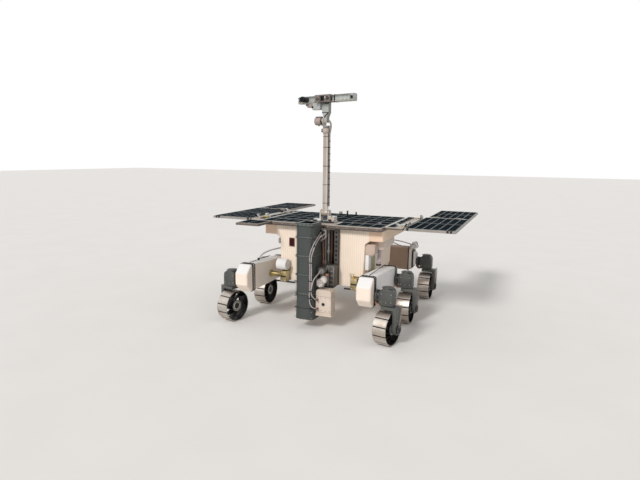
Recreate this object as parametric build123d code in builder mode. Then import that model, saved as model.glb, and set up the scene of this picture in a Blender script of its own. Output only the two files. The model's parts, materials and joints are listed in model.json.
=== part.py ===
"""Six-wheeled planetary rover with folding solar wings, a camera mast and a drill box.

Millimetres, +Z up. The rover faces -Y and +X is its left side, so a view from the
front has +X to the right. The origin is on the ground at the middle of the plan.
Its front wheels stand turned and its camera head stands panned, as it was pictured.
"""
from build123d import *
from math import cos, pi, radians, sin, tan
import os

os.makedirs("parts", exist_ok=True)

# Fits and clearances; of the two faces that turn on each other one is round and one has flats
running_fit = 0.05
large_sides = 16
small_sides = 12
pin_sides = 8
seat_gap = 0.3
joint_gap = 6.0
overlap = 1.0

# Wheels and axles
wheel_radius = 142.5
wheel_width = 120.0
track_half = 728.0
front_axle_y = -900.0
front_to_middle = 610.0
middle_to_rear = 875.0
front_steer = -12.3
plate_count = 12
plate_flats = 2
plate_gap = 10.0
plate_thick = 3.0
band_thick = 2.5
spring_count = 6
spring_bends = 3
spring_thick = 2.5
spring_width = 84.0
spring_lead = 62.0
spring_bulge = 20.0
hub_radius = 52.0
hub_bore_radius = 40.0
hub_width = 104.0

# Legs, each a knuckle plate with the drive motor at its foot
leg_gap = 9.0
leg_thick = 30.0
leg_width = 92.0
leg_foot_facets = 6
knuckle_clearance = 13.0
knuckle_thick = 26.0
knuckle_inner = 38.0
motor_reach = 78.0
spindle_radius = 24.0
spindle_reach = 40.0

# Steering actuators
actuator_length = 116.0
actuator_width = 104.0
actuator_height = 138.0
actuator_round = 38.0
actuator_facets = 3
arm_radius = 43.0
arm_rise = 62.0

# Bogie beams
beam_x = 560.0
beam_width = 125.0
beam_centre_z = 424.0
beam_front_half = 121.0
beam_front_flat = 52.0
beam_rear_half = 92.0
beam_rear_flat = 44.0
beam_rear_drop = 12.0
beam_edge = 9.0

# Bogie pivots: shaft, nut, post in the body's corner notch, plate and rod; one pivot behind
pivot_y_from_axle = 300.0
pivot_z = 400.0
pivot_shaft_radius = 22.0
pivot_nut_radius = 31.0
pivot_nut_thick = 14.0
pivot_post_inner = 315.0
pivot_post_width = 60.0
pivot_post_half_depth = 40.0
pivot_post_bottom = 341.0
pivot_post_top = 440.0
pivot_plate_inner = 280.0
pivot_plate_height = 30.0
pivot_plate_width = 46.0
pivot_plate_thick = 8.0
pivot_rod_length = 200.0
pivot_rod_height = 11.0
pivot_rod_depth = 20.0
rear_pivot_radius = 55.0
rear_bracket_half = 90.0
rear_bracket_height = 120.0
rear_bracket_thick = 30.0

# Body
body_front_from_axle = 340.0
body_length = 860.0
body_bottom = 350.0
body_height = 516.0
body_top_half = 450.0
body_step_half = 412.0
body_low_half = 402.0
body_bottom_half = 372.0
body_shoulder_z = 768.0
body_step_z = 738.0
body_corner_z = 432.0
notch_inner_half = 305.0
notch_height = 96.0
notch_depth = 120.0
bay_left = -70.0
bay_right = 146.0
bay_depth = 90.0
bay_bottom_wall = 22.0
bay_top_wall = 16.0
window_x = -292.0
window_width = 50.0
window_height = 76.0
window_z = 706.0
window_thick = 5.0
window_round = 10.0
holddown_x = 400.0
holddown_y = 600.0
holddown_radius = 5.0
holddown_depth = 22.0

# Deck, its strips, the small forward panel and the boxes under it
deck_height = 34.0
deck_rim = 10.0
deck_half = 580.0
deck_front_from_axle = 270.0
deck_length = 850.0
deck_skin = 20.0
strip_width = 155.0
strip_front_from_axle = 360.0
strip_length = 800.0
front_panel_width = 230.0
front_panel_x = -580.0
front_panel_reach = 250.0
front_panel_lap = 100.0
side_box_height = 98.0
side_box_outer = 575.0
side_box_length = 750.0

# Cells
cell_thick = 2.0
cell_gap = 8.0
cell_margin = 12.0
mast_field_length = 215.0
mast_field_half = 150.0
strip_cell_inset = 10.0
strip_cell_width = 80.0
panel_cell_inset = 10.0

# Wings and their hinges
wing_gap = 17.0
wing_width = 423.0
wing_front_from_axle = 360.0
wing_front_length = 855.0
wing_joint_gap = 24.0
wing_rear_length = 712.0
wing_rear_inset = 22.0
wing_thick = 20.0
wing_columns = 6
wing_rows = 2
wing_hinge_rise = 22.0
wing_hinge_inset = 120.0
lug_half = 7.0
lug_length = 36.0
lug_clearance = 1.0
hinge_pin_radius = 3.0
hinge_foot = 11.0
leaf_thick = 4.0
joint_lug_half = 5.0
joint_lug_rise = 1.0
joint_hinge_inset = 90.0

# Mast: base, tube, collar and harness
mast_y_from_axle = 430.0
mast_hinge_rise = 85.0
mast_length = 707.0
mast_radius = 27.0
collar_radius = 34.0
collar_height = 52.0
collar_edge = 8.0
base_length = 210.0
base_depth = 110.0
base_thick = 14.0
base_block_width = 60.0
base_block_depth = 60.0
base_block_height = 44.0
base_plate_height = 16.0
cheek_gap = 66.0
cheek_thick = 12.0
cheek_depth = 60.0
hinge_radius = 14.0
foot_width = 60.0
foot_radius = 30.0
harness_width = 15.0
harness_thick = 11.0

# Pan head and tilt motor
tilt_rise = 56.0
head_pan = -14.0
pan_gap = 0.4
pan_base_radius = 32.0
pan_base_thick = 14.0
yoke_inner = 18.0
yoke_thick = 24.0
yoke_half = 24.0
tilt_pin_radius = 12.0
tilt_pin_start = 17.0
tilt_motor_radius = 36.0
tilt_motor_start = 50.0
tilt_motor_length = 62.0

# Camera head
head_rise = 187.0
head_length = 606.0
head_height = 62.0
head_depth = 46.0
head_edge = 6.0
foot_half_width = 16.0
neck_width = 70.0
neck_depth = 40.0
neck_height = 88.0
lens_spacing = 560.0
lens_radius = 10.0
lens_recess = 8.0
long_lens_u = -205.0
long_lens_radius = 25.0
long_lens_length = 62.0
centre_frame_u = -8.0
centre_frame_width = 165.0
centre_frame_height = 66.0
centre_frame_depth = 34.0
centre_window = 38.0
centre_window_depth = 16.0
centre_stub_u = 52.0
centre_stub_radius = 12.0
centre_stub_length = 8.0
under_box_u = -98.0
under_box_width = 88.0
under_box_height = 58.0
under_box_depth = 50.0
small_box_u = -178.0
small_box_width = 52.0
small_box_height = 34.0
small_box_depth = 40.0

# Drill box
drill_front_from_axle = 35.0
drill_left = -110.0
drill_right = 55.0
drill_depth = 175.0
drill_bottom = 92.0
drill_top = 932.0
drill_round = 40.0
drill_facets = 3
drill_foot_height = 205.0
drill_foot_flare = 6.0
drill_rim_height = 24.0
band_height = 10.0
band_out = 3.0
drill_bands = [812.0, 650.0, 486.0, 320.0]

# Drill lift, its turning pin and the bracket that turns on it
rack_width = 34.0
rack_depth = 40.0
rack_bottom = 356.0
rack_top = 860.0
rack_tooth_pitch = 41.0
rack_tooth_count = 12
rack_notch_height = 15.0
rack_notch_width = 18.0
rack_notch_depth = 12.0
carriage_left = 70.0
carriage_bottom = 345.0
carriage_top = 548.0
carriage_edge = 12.0
rail_gap = 0.3
carriage_gap = 16.0
turn_pin_radius = 16.0
turn_pin_grip = 60.0
turn_x = 100.0
turn_z = 512.0
bracket_radius = 30.0
bracket_thick = 50.0
bracket_inset = 40.0
bore_clearance = 0.05

# Gearbox on the drill box's side: two round covers side by side over a housing
gear_large_x = 94.0
gear_large_z = 412.0
gear_large_radius = 37.0
gear_small_x = 127.0
gear_small_z = 443.0
gear_small_radius = 32.0
gear_cover_front = 60.0
gear_cover_thick = 26.0
gear_housing_grow = 3.0
gear_housing_thick = 36.0
gear_foot_height = 40.0

# Close-up instrument box and its mounting feet
instrument_width = 142.0
instrument_depth = 100.0
instrument_bottom = 128.0
instrument_height = 230.0
instrument_front_inset = 50.0
instrument_foot = 9.0
instrument_foot_height = 30.0
instrument_foot_low = 30.0
instrument_foot_high = 140.0
instrument_edge = 14.0
instrument_flange = 7.0
instrument_flange_thick = 12.0

# Rods, pipes and bars in the bay
rod_clearance = 45.0
pipe_x = 56.0
pipe_radius = 8.0
pipe_clamp_z = 640.0
pipe_clamp_radius = 14.0
pipe_clamp_height = 24.0
rod_places = [8.0, 28.0]
rod_radius = 5.0
rod_bottom_radius = 9.0
rod_bottom_length = 90.0
bar_places = [88.0, 122.0]
bar_width = 16.0
bar_depth = 26.0
top_bar_height = 14.0
top_bar_depth = 12.0
hanger_x = 70.0
hanger_forward = 42.0
hanger_radius = 6.0
hanger_length = 96.0

# Boxes on the body's flanks: inner x, outer x, front and rear from the axle, bottom, top
grey_box = (452.0, 565.0, 450.0, 750.0, 682.0)
grey_box_round = 34.0
peach_box_outer = 500.0
peach_box = (358.0, 444.0, 642.0, 737.0)
peach_box_round = 30.0
white_box_outer = 445.0
white_box = (362.0, 440.0, 506.0)
flank_panel = (480.0, 660.0, 450.0, 590.0)
flank_panel_thick = 6.0
wall_disc_y_from_axle = 400.0
wall_disc_z = 702.0
wall_disc_radius = 34.0
wall_disc_thick = 16.0
drum_radius = 52.0
drum_z = 502.0
drum_inner = 310.0
drum_length = 100.0

# Fittings on the cells, then those on the bare strips: x, y from the front axle, length, width, height
cell_fittings = [
    (30.0, 928.0, 14.0, 14.0, 56.0), (-105.0, 1096.0, 30.0, 20.0, 26.0),
    (63.0, 1096.0, 12.0, 14.0, 30.0), (482.0, 551.0, 26.0, 26.0, 4.0),
    (627.0, 590.0, 30.0, 44.0, 4.0), (608.0, 1140.0, 36.0, 34.0, 4.0),
    (-620.0, 435.0, 50.0, 26.0, 22.0), (-640.0, 947.0, 30.0, 44.0, 4.0),
    (-640.0, 1065.0, 28.0, 36.0, 4.0),
]
strip_fittings = [
    (693.0, 558.0, 34.0, 36.0, 6.0), (693.0, 1095.0, 34.0, 60.0, 6.0),
    (-696.0, 700.0, 26.0, 120.0, 6.0), (726.0, 640.0, 14.0, 40.0, 22.0),
    (726.0, 1138.0, 14.0, 34.0, 30.0), (-726.0, 640.0, 14.0, 40.0, 22.0),
    (-726.0, 960.0, 14.0, 44.0, 26.0),
]

# Cables: radius, sides of their plain solids, and the share of a run that a bend takes
cable_sides = 4
cable_radius = 5.0
bundle_radius = 17.0
bend_share = 0.45
cable_stand = 9.0
plug_radius = 8.0
plug_length = 34.0
plug_grip = 8.0
plug_inset = 20.0
plug_offset = 2.0
low_plug_rise = 63.0
high_plug_rise = 142.0

middle_axle_y = front_axle_y + front_to_middle
rear_axle_y = middle_axle_y + middle_to_rear
body_top = body_bottom + body_height
deck_bottom = body_top
deck_top = deck_bottom + deck_height
strip_outer = deck_half + strip_width
wing_inner = strip_outer + wing_gap
wing_outer = wing_inner + wing_width
bay_bottom = body_bottom + bay_bottom_wall
bay_top = body_top - bay_top_wall
side_box_bottom = deck_bottom - side_box_height
body_front_y = front_axle_y + body_front_from_axle
body_rear_y = body_front_y + body_length
deck_front_y = front_axle_y + deck_front_from_axle
deck_rear_y = deck_front_y + deck_length
strip_front_y = front_axle_y + strip_front_from_axle
wing_front_y = front_axle_y + wing_front_from_axle
wing_joint_y = wing_front_y + wing_front_length
wing_rear_y = wing_joint_y + wing_joint_gap
wing_hinge_x = (strip_outer + wing_inner) / 2
wing_hinge_z = deck_top + wing_hinge_rise
wing_hinge_places = [(wing_front_y + wing_hinge_inset, 1),
                     (wing_front_y + wing_front_length - wing_hinge_inset, -1)]
joint_hinge_z = deck_top + joint_lug_half + joint_lug_rise
pivot_y = front_axle_y + pivot_y_from_axle
beam_outer = beam_x + beam_width / 2
beam_inner = beam_x - beam_width / 2
beam_top = beam_centre_z + beam_front_half
knuckle_bottom = 2 * wheel_radius + knuckle_clearance
knuckle_top = knuckle_bottom + knuckle_thick
actuator_bottom = knuckle_top + joint_gap
arm_z = actuator_bottom + arm_rise
mast_y = front_axle_y + mast_y_from_axle
mast_hinge_z = deck_top + mast_hinge_rise
mast_top = mast_hinge_z + mast_length
tilt_z = mast_top + collar_height + tilt_rise
head_z = tilt_z + head_rise
drill_front_y = front_axle_y + drill_front_from_axle
drill_rear_y = drill_front_y + drill_depth
front_panel_front_y = deck_front_y - front_panel_reach
front_panel_length = front_panel_reach + front_panel_lap
instrument_left = drill_right + instrument_foot
instrument_front_y = drill_front_y + instrument_front_inset

# Routes of the held cables, point by point: those on the drill box, then those on the body
drill_side_x = drill_right + cable_stand
drill_face_y = drill_front_y - cable_stand
plug_end_y = instrument_front_y - plug_length + plug_grip
low_plug_x = instrument_left + plug_inset
high_plug_x = low_plug_x - plug_offset
low_plug_z = instrument_bottom + low_plug_rise
high_plug_z = instrument_bottom + high_plug_rise
drill_routes = [
    ("lower drill cable", [
        (drill_side_x, drill_rear_y - 12, drill_top - 84),
        (drill_side_x - 0.5, drill_front_y + 65, drill_top - 132),
        (drill_side_x - 2, drill_front_y - 15, drill_top - 182),
        (drill_right - 27, drill_face_y - 1, drill_top - 272),
        (drill_right - 21, drill_face_y, drill_top - 387),
        (drill_right - 22, drill_face_y, drill_top - 507),
        (drill_right - 25, drill_face_y, drill_top - 602),
        (drill_right - 24, drill_face_y - 1, drill_top - 670),
        (drill_right - 7, drill_face_y - 1, drill_top - 724),
        (low_plug_x, plug_end_y, low_plug_z)]),
    ("upper drill cable", [
        (drill_side_x + 3, drill_rear_y - 16, drill_top - 106),
        (drill_side_x + 3, drill_front_y + 57, drill_top - 156),
        (drill_side_x + 8, drill_front_y - 19, drill_top - 208),
        (drill_right - 12, drill_face_y - 1, drill_top - 292),
        (drill_right - 7, drill_face_y, drill_top - 387),
        (drill_right - 8, drill_face_y, drill_top - 507),
        (drill_right - 11, drill_face_y, drill_top - 582),
        (drill_right - 1, drill_face_y + 2, drill_top - 632),
        (high_plug_x, plug_end_y, high_plug_z)]),
    ("lift branch", [
        (gear_large_x + 2, drill_front_y + 69, turn_z + 8),
        (gear_large_x - 4, drill_front_y + 49, turn_z - 14),
        (gear_large_x - 18, drill_front_y + 3, turn_z - 38),
        (drill_right + 3, drill_face_y - 1, turn_z - 82),
        (drill_right - 5, drill_face_y, turn_z - 132)]),
]
box_inner, box_outer, box_front, box_rear, box_bottom = grey_box
box_front_y, box_rear_y = front_axle_y + box_front, front_axle_y + box_rear
rear_beam_front_y = rear_axle_y - beam_width / 2
flank_cable_y = body_front_y + 70
body_routes = [
    ("beam bundle", [
        (box_inner + 58, box_front_y + 26, box_bottom - 2),
        (box_inner + 57, box_front_y + 22, box_bottom - 36),
        (box_inner + 61, box_front_y + 4, beam_top + 43),
        (box_inner + 62, box_front_y, beam_top + 2)], bundle_radius),
    ("first rear cable", [
        (box_outer - 25, box_rear_y + 1.4, box_bottom + 30),
        (box_outer - 9, box_rear_y + 120, box_bottom - 10),
        (box_outer + 9, box_rear_y + 300, beam_top + 77),
        (box_outer + 27, box_rear_y + 500, beam_top + 39),
        (box_outer + 35, rear_beam_front_y + 30, beam_top + 27),
        (box_outer + 37, rear_beam_front_y + 62, beam_top)], cable_radius),
    ("second rear cable", [
        (box_outer - 13, box_rear_y + 1.2, box_bottom + 48),
        (box_outer + 15, box_rear_y + 140, box_bottom + 20),
        (box_outer + 35, box_rear_y + 340, box_bottom - 28),
        (box_outer + 47, box_rear_y + 540, beam_top + 59),
        (box_outer + 47, rear_beam_front_y + 60, beam_top + 41),
        (box_outer + 45, rear_beam_front_y + 96, beam_top)], cable_radius),
    ("right beam cable", [
        (-beam_x, flank_cable_y - 225, beam_top - 2),
        (-beam_x + 8, flank_cable_y - 210, beam_top + 35),
        (-beam_x + 46, flank_cable_y - 150, beam_top + 69),
        (-body_step_half - 44, flank_cable_y - 70, beam_top + 87),
        (-body_step_half - 1.2, flank_cable_y, beam_top + 91)], cable_radius),
]

# Wheel stations: name, side, axle line, steering angle at rest
stations = [
    ("front_left", 1, front_axle_y, front_steer),
    ("front_right", -1, front_axle_y, front_steer),
    ("middle_left", 1, middle_axle_y, 0.0),
    ("middle_right", -1, middle_axle_y, 0.0),
    ("rear_left", 1, rear_axle_y, 0.0),
    ("rear_right", -1, rear_axle_y, 0.0),
]

# Cell fields of the deck: left edge, right edge, front edge, rear edge, columns, rows
deck_fields = [
    (-deck_half, deck_half, deck_front_y + mast_field_length, deck_rear_y, 10, 4),
    (-deck_half, -mast_field_half, deck_front_y, deck_front_y + mast_field_length, 4, 1),
    (mast_field_half, deck_half, deck_front_y, deck_front_y + mast_field_length, 4, 1),
    (deck_half + strip_cell_inset, deck_half + strip_cell_inset + strip_cell_width, strip_front_y,
     strip_front_y + strip_length, 1, 5),
    (-deck_half - strip_cell_inset - strip_cell_width, -deck_half - strip_cell_inset, strip_front_y,
     strip_front_y + strip_length, 1, 5),
    (front_panel_x - front_panel_width / 2, front_panel_x + front_panel_width / 2,
     front_panel_front_y, deck_front_y - panel_cell_inset, 2, 1),
]


def keep(part, label):
    """Name a finished piece and write it."""
    part.label = label
    export_step(part, f"parts/{label}.step")


def axle_plane(side, axle_y, steer, out=0.0):
    """Plane at a wheel centre: Z points outboard, Y up, turned by the steering angle."""
    turn = radians(steer)
    outward = Vector(side * cos(turn), side * sin(turn), 0)
    origin = Vector(side * track_half, axle_y, wheel_radius) + outward * out
    return Plane(origin=origin, x_dir=(-side * sin(turn), side * cos(turn), 0), z_dir=outward)


def across(y):
    """Upright plane across the rover that grows backwards from y; X is +X and Y is up."""
    return Plane(origin=(0, y, 0), x_dir=(-1, 0, 0), z_dir=(0, 1, 0))


def block(left, right, front, rear, bottom, top):
    """Plain block between six faces, added to the part being made."""
    with Locations(((left + right) / 2, (front + rear) / 2, (bottom + top) / 2)):
        Box(abs(right - left), rear - front, top - bottom)


def bend_radii(points):
    """Bend radius at each inner point of a route, as large as its two runs allow."""
    radii = []
    for before, here, after in zip(points, points[1:], points[2:]):
        run_in = Vector(*here) - Vector(*before)
        run_out = Vector(*after) - Vector(*here)
        half_turn = radians(run_in.get_angle(run_out)) / 2
        radii.append(bend_share * min(run_in.length, run_out.length) / tan(half_turn))
    return radii


def cable(name, points, radius):
    """One held cable along its route; prints its bend radii."""
    radii = bend_radii(points)
    with BuildPart() as run:
        with BuildLine() as route:
            FilletPolyline(*points, radius=radii)
        with BuildSketch(Plane(origin=route.line @ 0, z_dir=route.line % 0)) as section:
            RegularPolygon(radius, cable_sides)
        sweep(path=route.line)
    filled = run.part.volume / section.sketch.area / route.wire().length
    print(name, "bend radii", [round(value) for value in radii], "volume share", round(filled, 3))
    return run.part


def spring_outline(root, tip):
    """Leaf spring seen along the axle: a thin strip bent along an arc from the hub to the tyre."""
    bulge = Vector(spring_bulge, -spring_bulge)
    arc = ThreePointArc(root, (root + tip) * 0.5 + bulge, tip, mode=Mode.PRIVATE)
    stations = [arc @ (bend / spring_bends) - arc.arc_center for bend in range(spring_bends + 1)]
    half = spring_thick / 2 / arc.radius
    outside = [arc.arc_center + station * (1 + half) for station in stations]
    inside = [arc.arc_center + station * (1 - half) for station in stations]
    return [*outside, *reversed(inside)]


def make_wheel(side, axle_y, steer):
    """Thin metal tyre of 12 tread plates on a band, held to its hub by leaf springs."""
    band_inner = wheel_radius - plate_thick - band_thick
    flat_count = plate_count * plate_flats
    lead = radians(spring_lead)
    root = Vector(hub_radius - overlap, 0)
    tip = Vector(cos(lead), sin(lead)) * (band_inner + overlap)
    with BuildSketch() as spring:
        Polygon(*spring_outline(root, tip), align=None)
    with BuildPart() as wheel:
        with BuildSketch(axle_plane(side, axle_y, steer, -wheel_width / 2)):
            RegularPolygon(wheel_radius, flat_count, major_radius=False, rotation=180 / flat_count)
            with PolarLocations(wheel_radius, plate_count, start_angle=180 / plate_count):
                Rectangle(2 * plate_thick, plate_gap, mode=Mode.SUBTRACT)
            RegularPolygon(band_inner, flat_count, major_radius=False, rotation=180 / flat_count,
                           mode=Mode.SUBTRACT)
        extrude(amount=wheel_width)
        with BuildSketch(axle_plane(side, axle_y, steer, -spring_width / 2)):
            with PolarLocations(0, spring_count):
                add(spring.sketch)
        extrude(amount=spring_width)
        with BuildSketch(axle_plane(side, axle_y, steer, -hub_width / 2)):
            RegularPolygon(hub_radius, small_sides, major_radius=False)
        extrude(amount=hub_width)
        with BuildSketch(axle_plane(side, axle_y, steer, -hub_width / 2)):
            Circle(hub_bore_radius)
        extrude(amount=hub_width, mode=Mode.SUBTRACT)
    return wheel.part


def make_leg(side, axle_y, steer):
    """Outboard leg plate, knuckle, steering spindle and drive motor of one wheel."""
    plate_start = wheel_width / 2 + leg_gap
    plate_end = plate_start + leg_thick
    top = knuckle_top - wheel_radius
    half = leg_width / 2
    foot = [(half * cos(pi * i / leg_foot_facets), -half * sin(pi * i / leg_foot_facets))
            for i in range(leg_foot_facets + 1)]
    with BuildPart() as leg:
        with BuildSketch(axle_plane(side, axle_y, steer, plate_start)):
            Polygon(*foot, (-half, top), (half, top), align=None)
        extrude(amount=leg_thick)
        with BuildSketch(axle_plane(side, axle_y, steer, -knuckle_inner)):
            with Locations((0, top - knuckle_thick / 2)):
                Rectangle(leg_width, knuckle_thick)
        extrude(amount=knuckle_inner + plate_end)
        with BuildSketch(axle_plane(side, axle_y, steer, plate_start + leg_thick / 2)):
            RegularPolygon(hub_bore_radius - running_fit, large_sides)
        extrude(amount=-(leg_thick / 2 + motor_reach))
        with BuildSketch(Plane.XY.offset(knuckle_top - overlap)):
            with Locations((side * track_half, axle_y)):
                Circle(spindle_radius - running_fit)
        extrude(amount=spindle_reach)
    return leg.part


def actuator_outline():
    """Front view of a steering actuator: flat foot, upper corners rounded in a few facets."""
    half = actuator_length / 2
    centre_x, centre_z = half - actuator_round, actuator_height - actuator_round
    angles = [pi / 2 * i / actuator_facets for i in range(actuator_facets + 1)]
    right = [(centre_x + actuator_round * cos(a), centre_z + actuator_round * sin(a)) for a in angles]
    left = [(-x, z) for x, z in reversed(right)]
    return [(half, 0), *right, *left, (-half, 0)]


def make_actuators():
    """Six steering actuator housings, each with the stub arm that joins it to a bogie beam."""
    with BuildPart() as actuators:
        for name, side, axle_y, steer in stations:
            with BuildSketch(Plane.XZ.offset(-(axle_y + actuator_width / 2))):
                with Locations((side * track_half, actuator_bottom)):
                    Polygon(*actuator_outline(), align=None)
            extrude(amount=actuator_width)
            with BuildSketch(Plane.YZ.offset(side * beam_outer)):
                with Locations((axle_y, arm_z)):
                    RegularPolygon(arm_radius, large_sides)
            extrude(amount=side * (track_half - beam_outer))
            with BuildSketch(Plane.XY.offset(actuator_bottom)):
                with Locations((side * track_half, axle_y)):
                    RegularPolygon(spindle_radius, small_sides, major_radius=False)
            extrude(amount=spindle_reach, mode=Mode.SUBTRACT)
    return actuators.part


def make_side_beam(side):
    """Blanketed side beam, drum-ended, that carries a front and a middle wheel."""
    rear_z = beam_centre_z - beam_rear_drop
    front_corner = beam_front_half - beam_front_flat
    rear_corner = beam_rear_half - beam_rear_flat
    with BuildPart() as beam:
        with BuildSketch(Plane.YZ.offset(side * beam_x - beam_width / 2)):
            with BuildLine():
                Polyline(
                    (front_axle_y - beam_front_half, beam_centre_z - beam_front_flat),
                    (front_axle_y - beam_front_half, beam_centre_z + beam_front_flat),
                    (front_axle_y - beam_front_half + front_corner, beam_centre_z + beam_front_half),
                    (front_axle_y + beam_front_flat, beam_centre_z + beam_front_half),
                    (middle_axle_y + beam_rear_flat, rear_z + beam_rear_half),
                    (middle_axle_y + beam_rear_flat + rear_corner, rear_z + beam_rear_flat),
                    (middle_axle_y + beam_rear_flat + rear_corner, rear_z - beam_rear_flat),
                    (middle_axle_y + beam_rear_flat, rear_z - beam_rear_half),
                    (front_axle_y + beam_front_flat, beam_centre_z - beam_front_half),
                    (front_axle_y - beam_front_half + front_corner, beam_centre_z - beam_front_half),
                    close=True,
                )
            make_face()
        extrude(amount=beam_width)
        chamfer(beam.edges().filter_by(Axis.X, reverse=True), beam_edge)
    return beam.part


def make_rear_beam():
    """Blanketed transverse beam behind the body that carries the two rear wheels."""
    corner = beam_front_half - beam_front_flat
    with BuildPart() as beam:
        with BuildSketch(Plane.XZ.offset(-(rear_axle_y + beam_width / 2))):
            with BuildLine():
                Polyline(
                    (-beam_outer, beam_centre_z - beam_front_flat),
                    (-beam_outer, beam_centre_z + beam_front_flat),
                    (-beam_outer + corner, beam_centre_z + beam_front_half),
                    (beam_outer - corner, beam_centre_z + beam_front_half),
                    (beam_outer, beam_centre_z + beam_front_flat),
                    (beam_outer, beam_centre_z - beam_front_flat),
                    (beam_outer - corner, beam_centre_z - beam_front_half),
                    (-beam_outer + corner, beam_centre_z - beam_front_half),
                    close=True,
                )
            make_face()
        extrude(amount=beam_width)
        chamfer(beam.edges().filter_by(Axis.Y, reverse=True), beam_edge)
    return beam.part


def make_pivots():
    """Bogie pivots: shaft, nut, post, plate and rod on each side, and the pivot behind the body."""
    notch_back = body_front_y + notch_depth
    post_outer = pivot_post_inner + pivot_post_width
    with BuildPart() as pivots:
        for side in (1, -1):
            with BuildSketch(Plane.YZ.offset(side * (post_outer - overlap))):
                with Locations((pivot_y, pivot_z)):
                    RegularPolygon(pivot_shaft_radius, small_sides)
            extrude(amount=side * (beam_inner - post_outer + overlap))
            with BuildSketch(Plane.YZ.offset(side * (beam_inner - pivot_nut_thick))):
                with Locations((pivot_y, pivot_z)):
                    RegularPolygon(pivot_nut_radius, 6)
            extrude(amount=side * pivot_nut_thick)
            block(side * pivot_post_inner, side * post_outer, pivot_y - pivot_post_half_depth,
                  notch_back - seat_gap, pivot_post_bottom, pivot_post_top)
            plate_back = body_front_y - seat_gap
            plate_top = pivot_post_top + pivot_plate_height
            with BuildSketch(across(plate_back - pivot_plate_thick)):
                Polygon((-side * (pivot_post_inner + overlap), pivot_post_bottom),
                        (-side * (pivot_post_inner + overlap), pivot_post_top),
                        (-side * (pivot_plate_inner + pivot_plate_width), plate_top),
                        (-side * pivot_plate_inner, plate_top), align=None)
            extrude(amount=pivot_plate_thick)
            rod_centre = (pivot_post_inner + post_outer) / 2
            block(side * (rod_centre - pivot_rod_length / 2), side * (rod_centre + pivot_rod_length / 2),
                  pivot_y - pivot_rod_depth / 2, pivot_y + pivot_rod_depth / 2,
                  pivot_post_bottom - pivot_rod_height, pivot_post_bottom)
        beam_front = rear_axle_y - beam_width / 2
        with BuildSketch(across(body_rear_y)):
            with Locations((0, beam_centre_z)):
                Circle(rear_pivot_radius)
        extrude(amount=beam_front - body_rear_y)
        with BuildSketch(across(body_rear_y)):
            with Locations((0, beam_centre_z)):
                Rectangle(2 * rear_bracket_half, rear_bracket_height)
        extrude(amount=rear_bracket_thick)
    return pivots.part


def make_body():
    """Blanketed body tub with its open bay, corner notches, window frame and hold-down holes."""
    with BuildPart() as body:
        with BuildSketch(Plane.XZ.offset(-body_rear_y)):
            with BuildLine():
                Polyline(
                    (body_bottom_half, body_bottom),
                    (body_low_half, body_corner_z),
                    (body_step_half, body_step_z),
                    (body_top_half, body_shoulder_z),
                    (body_top_half, body_top),
                    (0, body_top),
                )
                Line((0, body_top), (0, body_bottom))
                Line((0, body_bottom), (body_bottom_half, body_bottom))
            make_face()
            mirror(about=Plane.YZ)
        extrude(amount=body_length)
        for side in (1, -1):
            with BuildSketch(across(body_front_y)):
                notch_x = side * (notch_inner_half + body_top_half) / 2
                with Locations((-notch_x, body_bottom + notch_height / 2)):
                    Rectangle(body_top_half - notch_inner_half, notch_height)
            extrude(amount=notch_depth, mode=Mode.SUBTRACT)
        with BuildSketch(across(body_front_y)):
            with Locations((-(bay_left + bay_right) / 2, (bay_bottom + bay_top) / 2)):
                Rectangle(bay_right - bay_left, bay_top - bay_bottom)
        extrude(amount=bay_depth, mode=Mode.SUBTRACT)
        with BuildSketch(Plane.XZ.offset(-body_front_y - overlap)):
            with Locations((window_x, window_z)):
                chamfer(Rectangle(window_width, window_height).vertices(), window_round)
        extrude(amount=window_thick + overlap)
        with BuildSketch(Plane.XY.offset(body_bottom)):
            with Locations((0, (body_front_y + body_rear_y) / 2)):
                with GridLocations(holddown_x, holddown_y, 2, 2):
                    Circle(holddown_radius)
        extrude(amount=holddown_depth, mode=Mode.SUBTRACT)
    return body.part


def make_side_boxes():
    """Two blanketed boxes under the deck, one on each side of the body."""
    with BuildPart() as boxes:
        for side in (1, -1):
            block(side * (body_top_half + seat_gap), side * side_box_outer, body_front_y,
                  body_front_y + side_box_length, side_box_bottom, deck_bottom)
    return boxes.part


def rounded_box(inner, outer, front, rear, bottom, top, rounding):
    """Box on the left flank whose lower outer edge is rounded."""
    with BuildPart() as box:
        block(inner, outer, front, rear, bottom, top)
        fillet(box.edges().filter_by(Axis.Y).group_by(Axis.Z)[0].sort_by(Axis.X)[-1], rounding)
    return box.part


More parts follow.
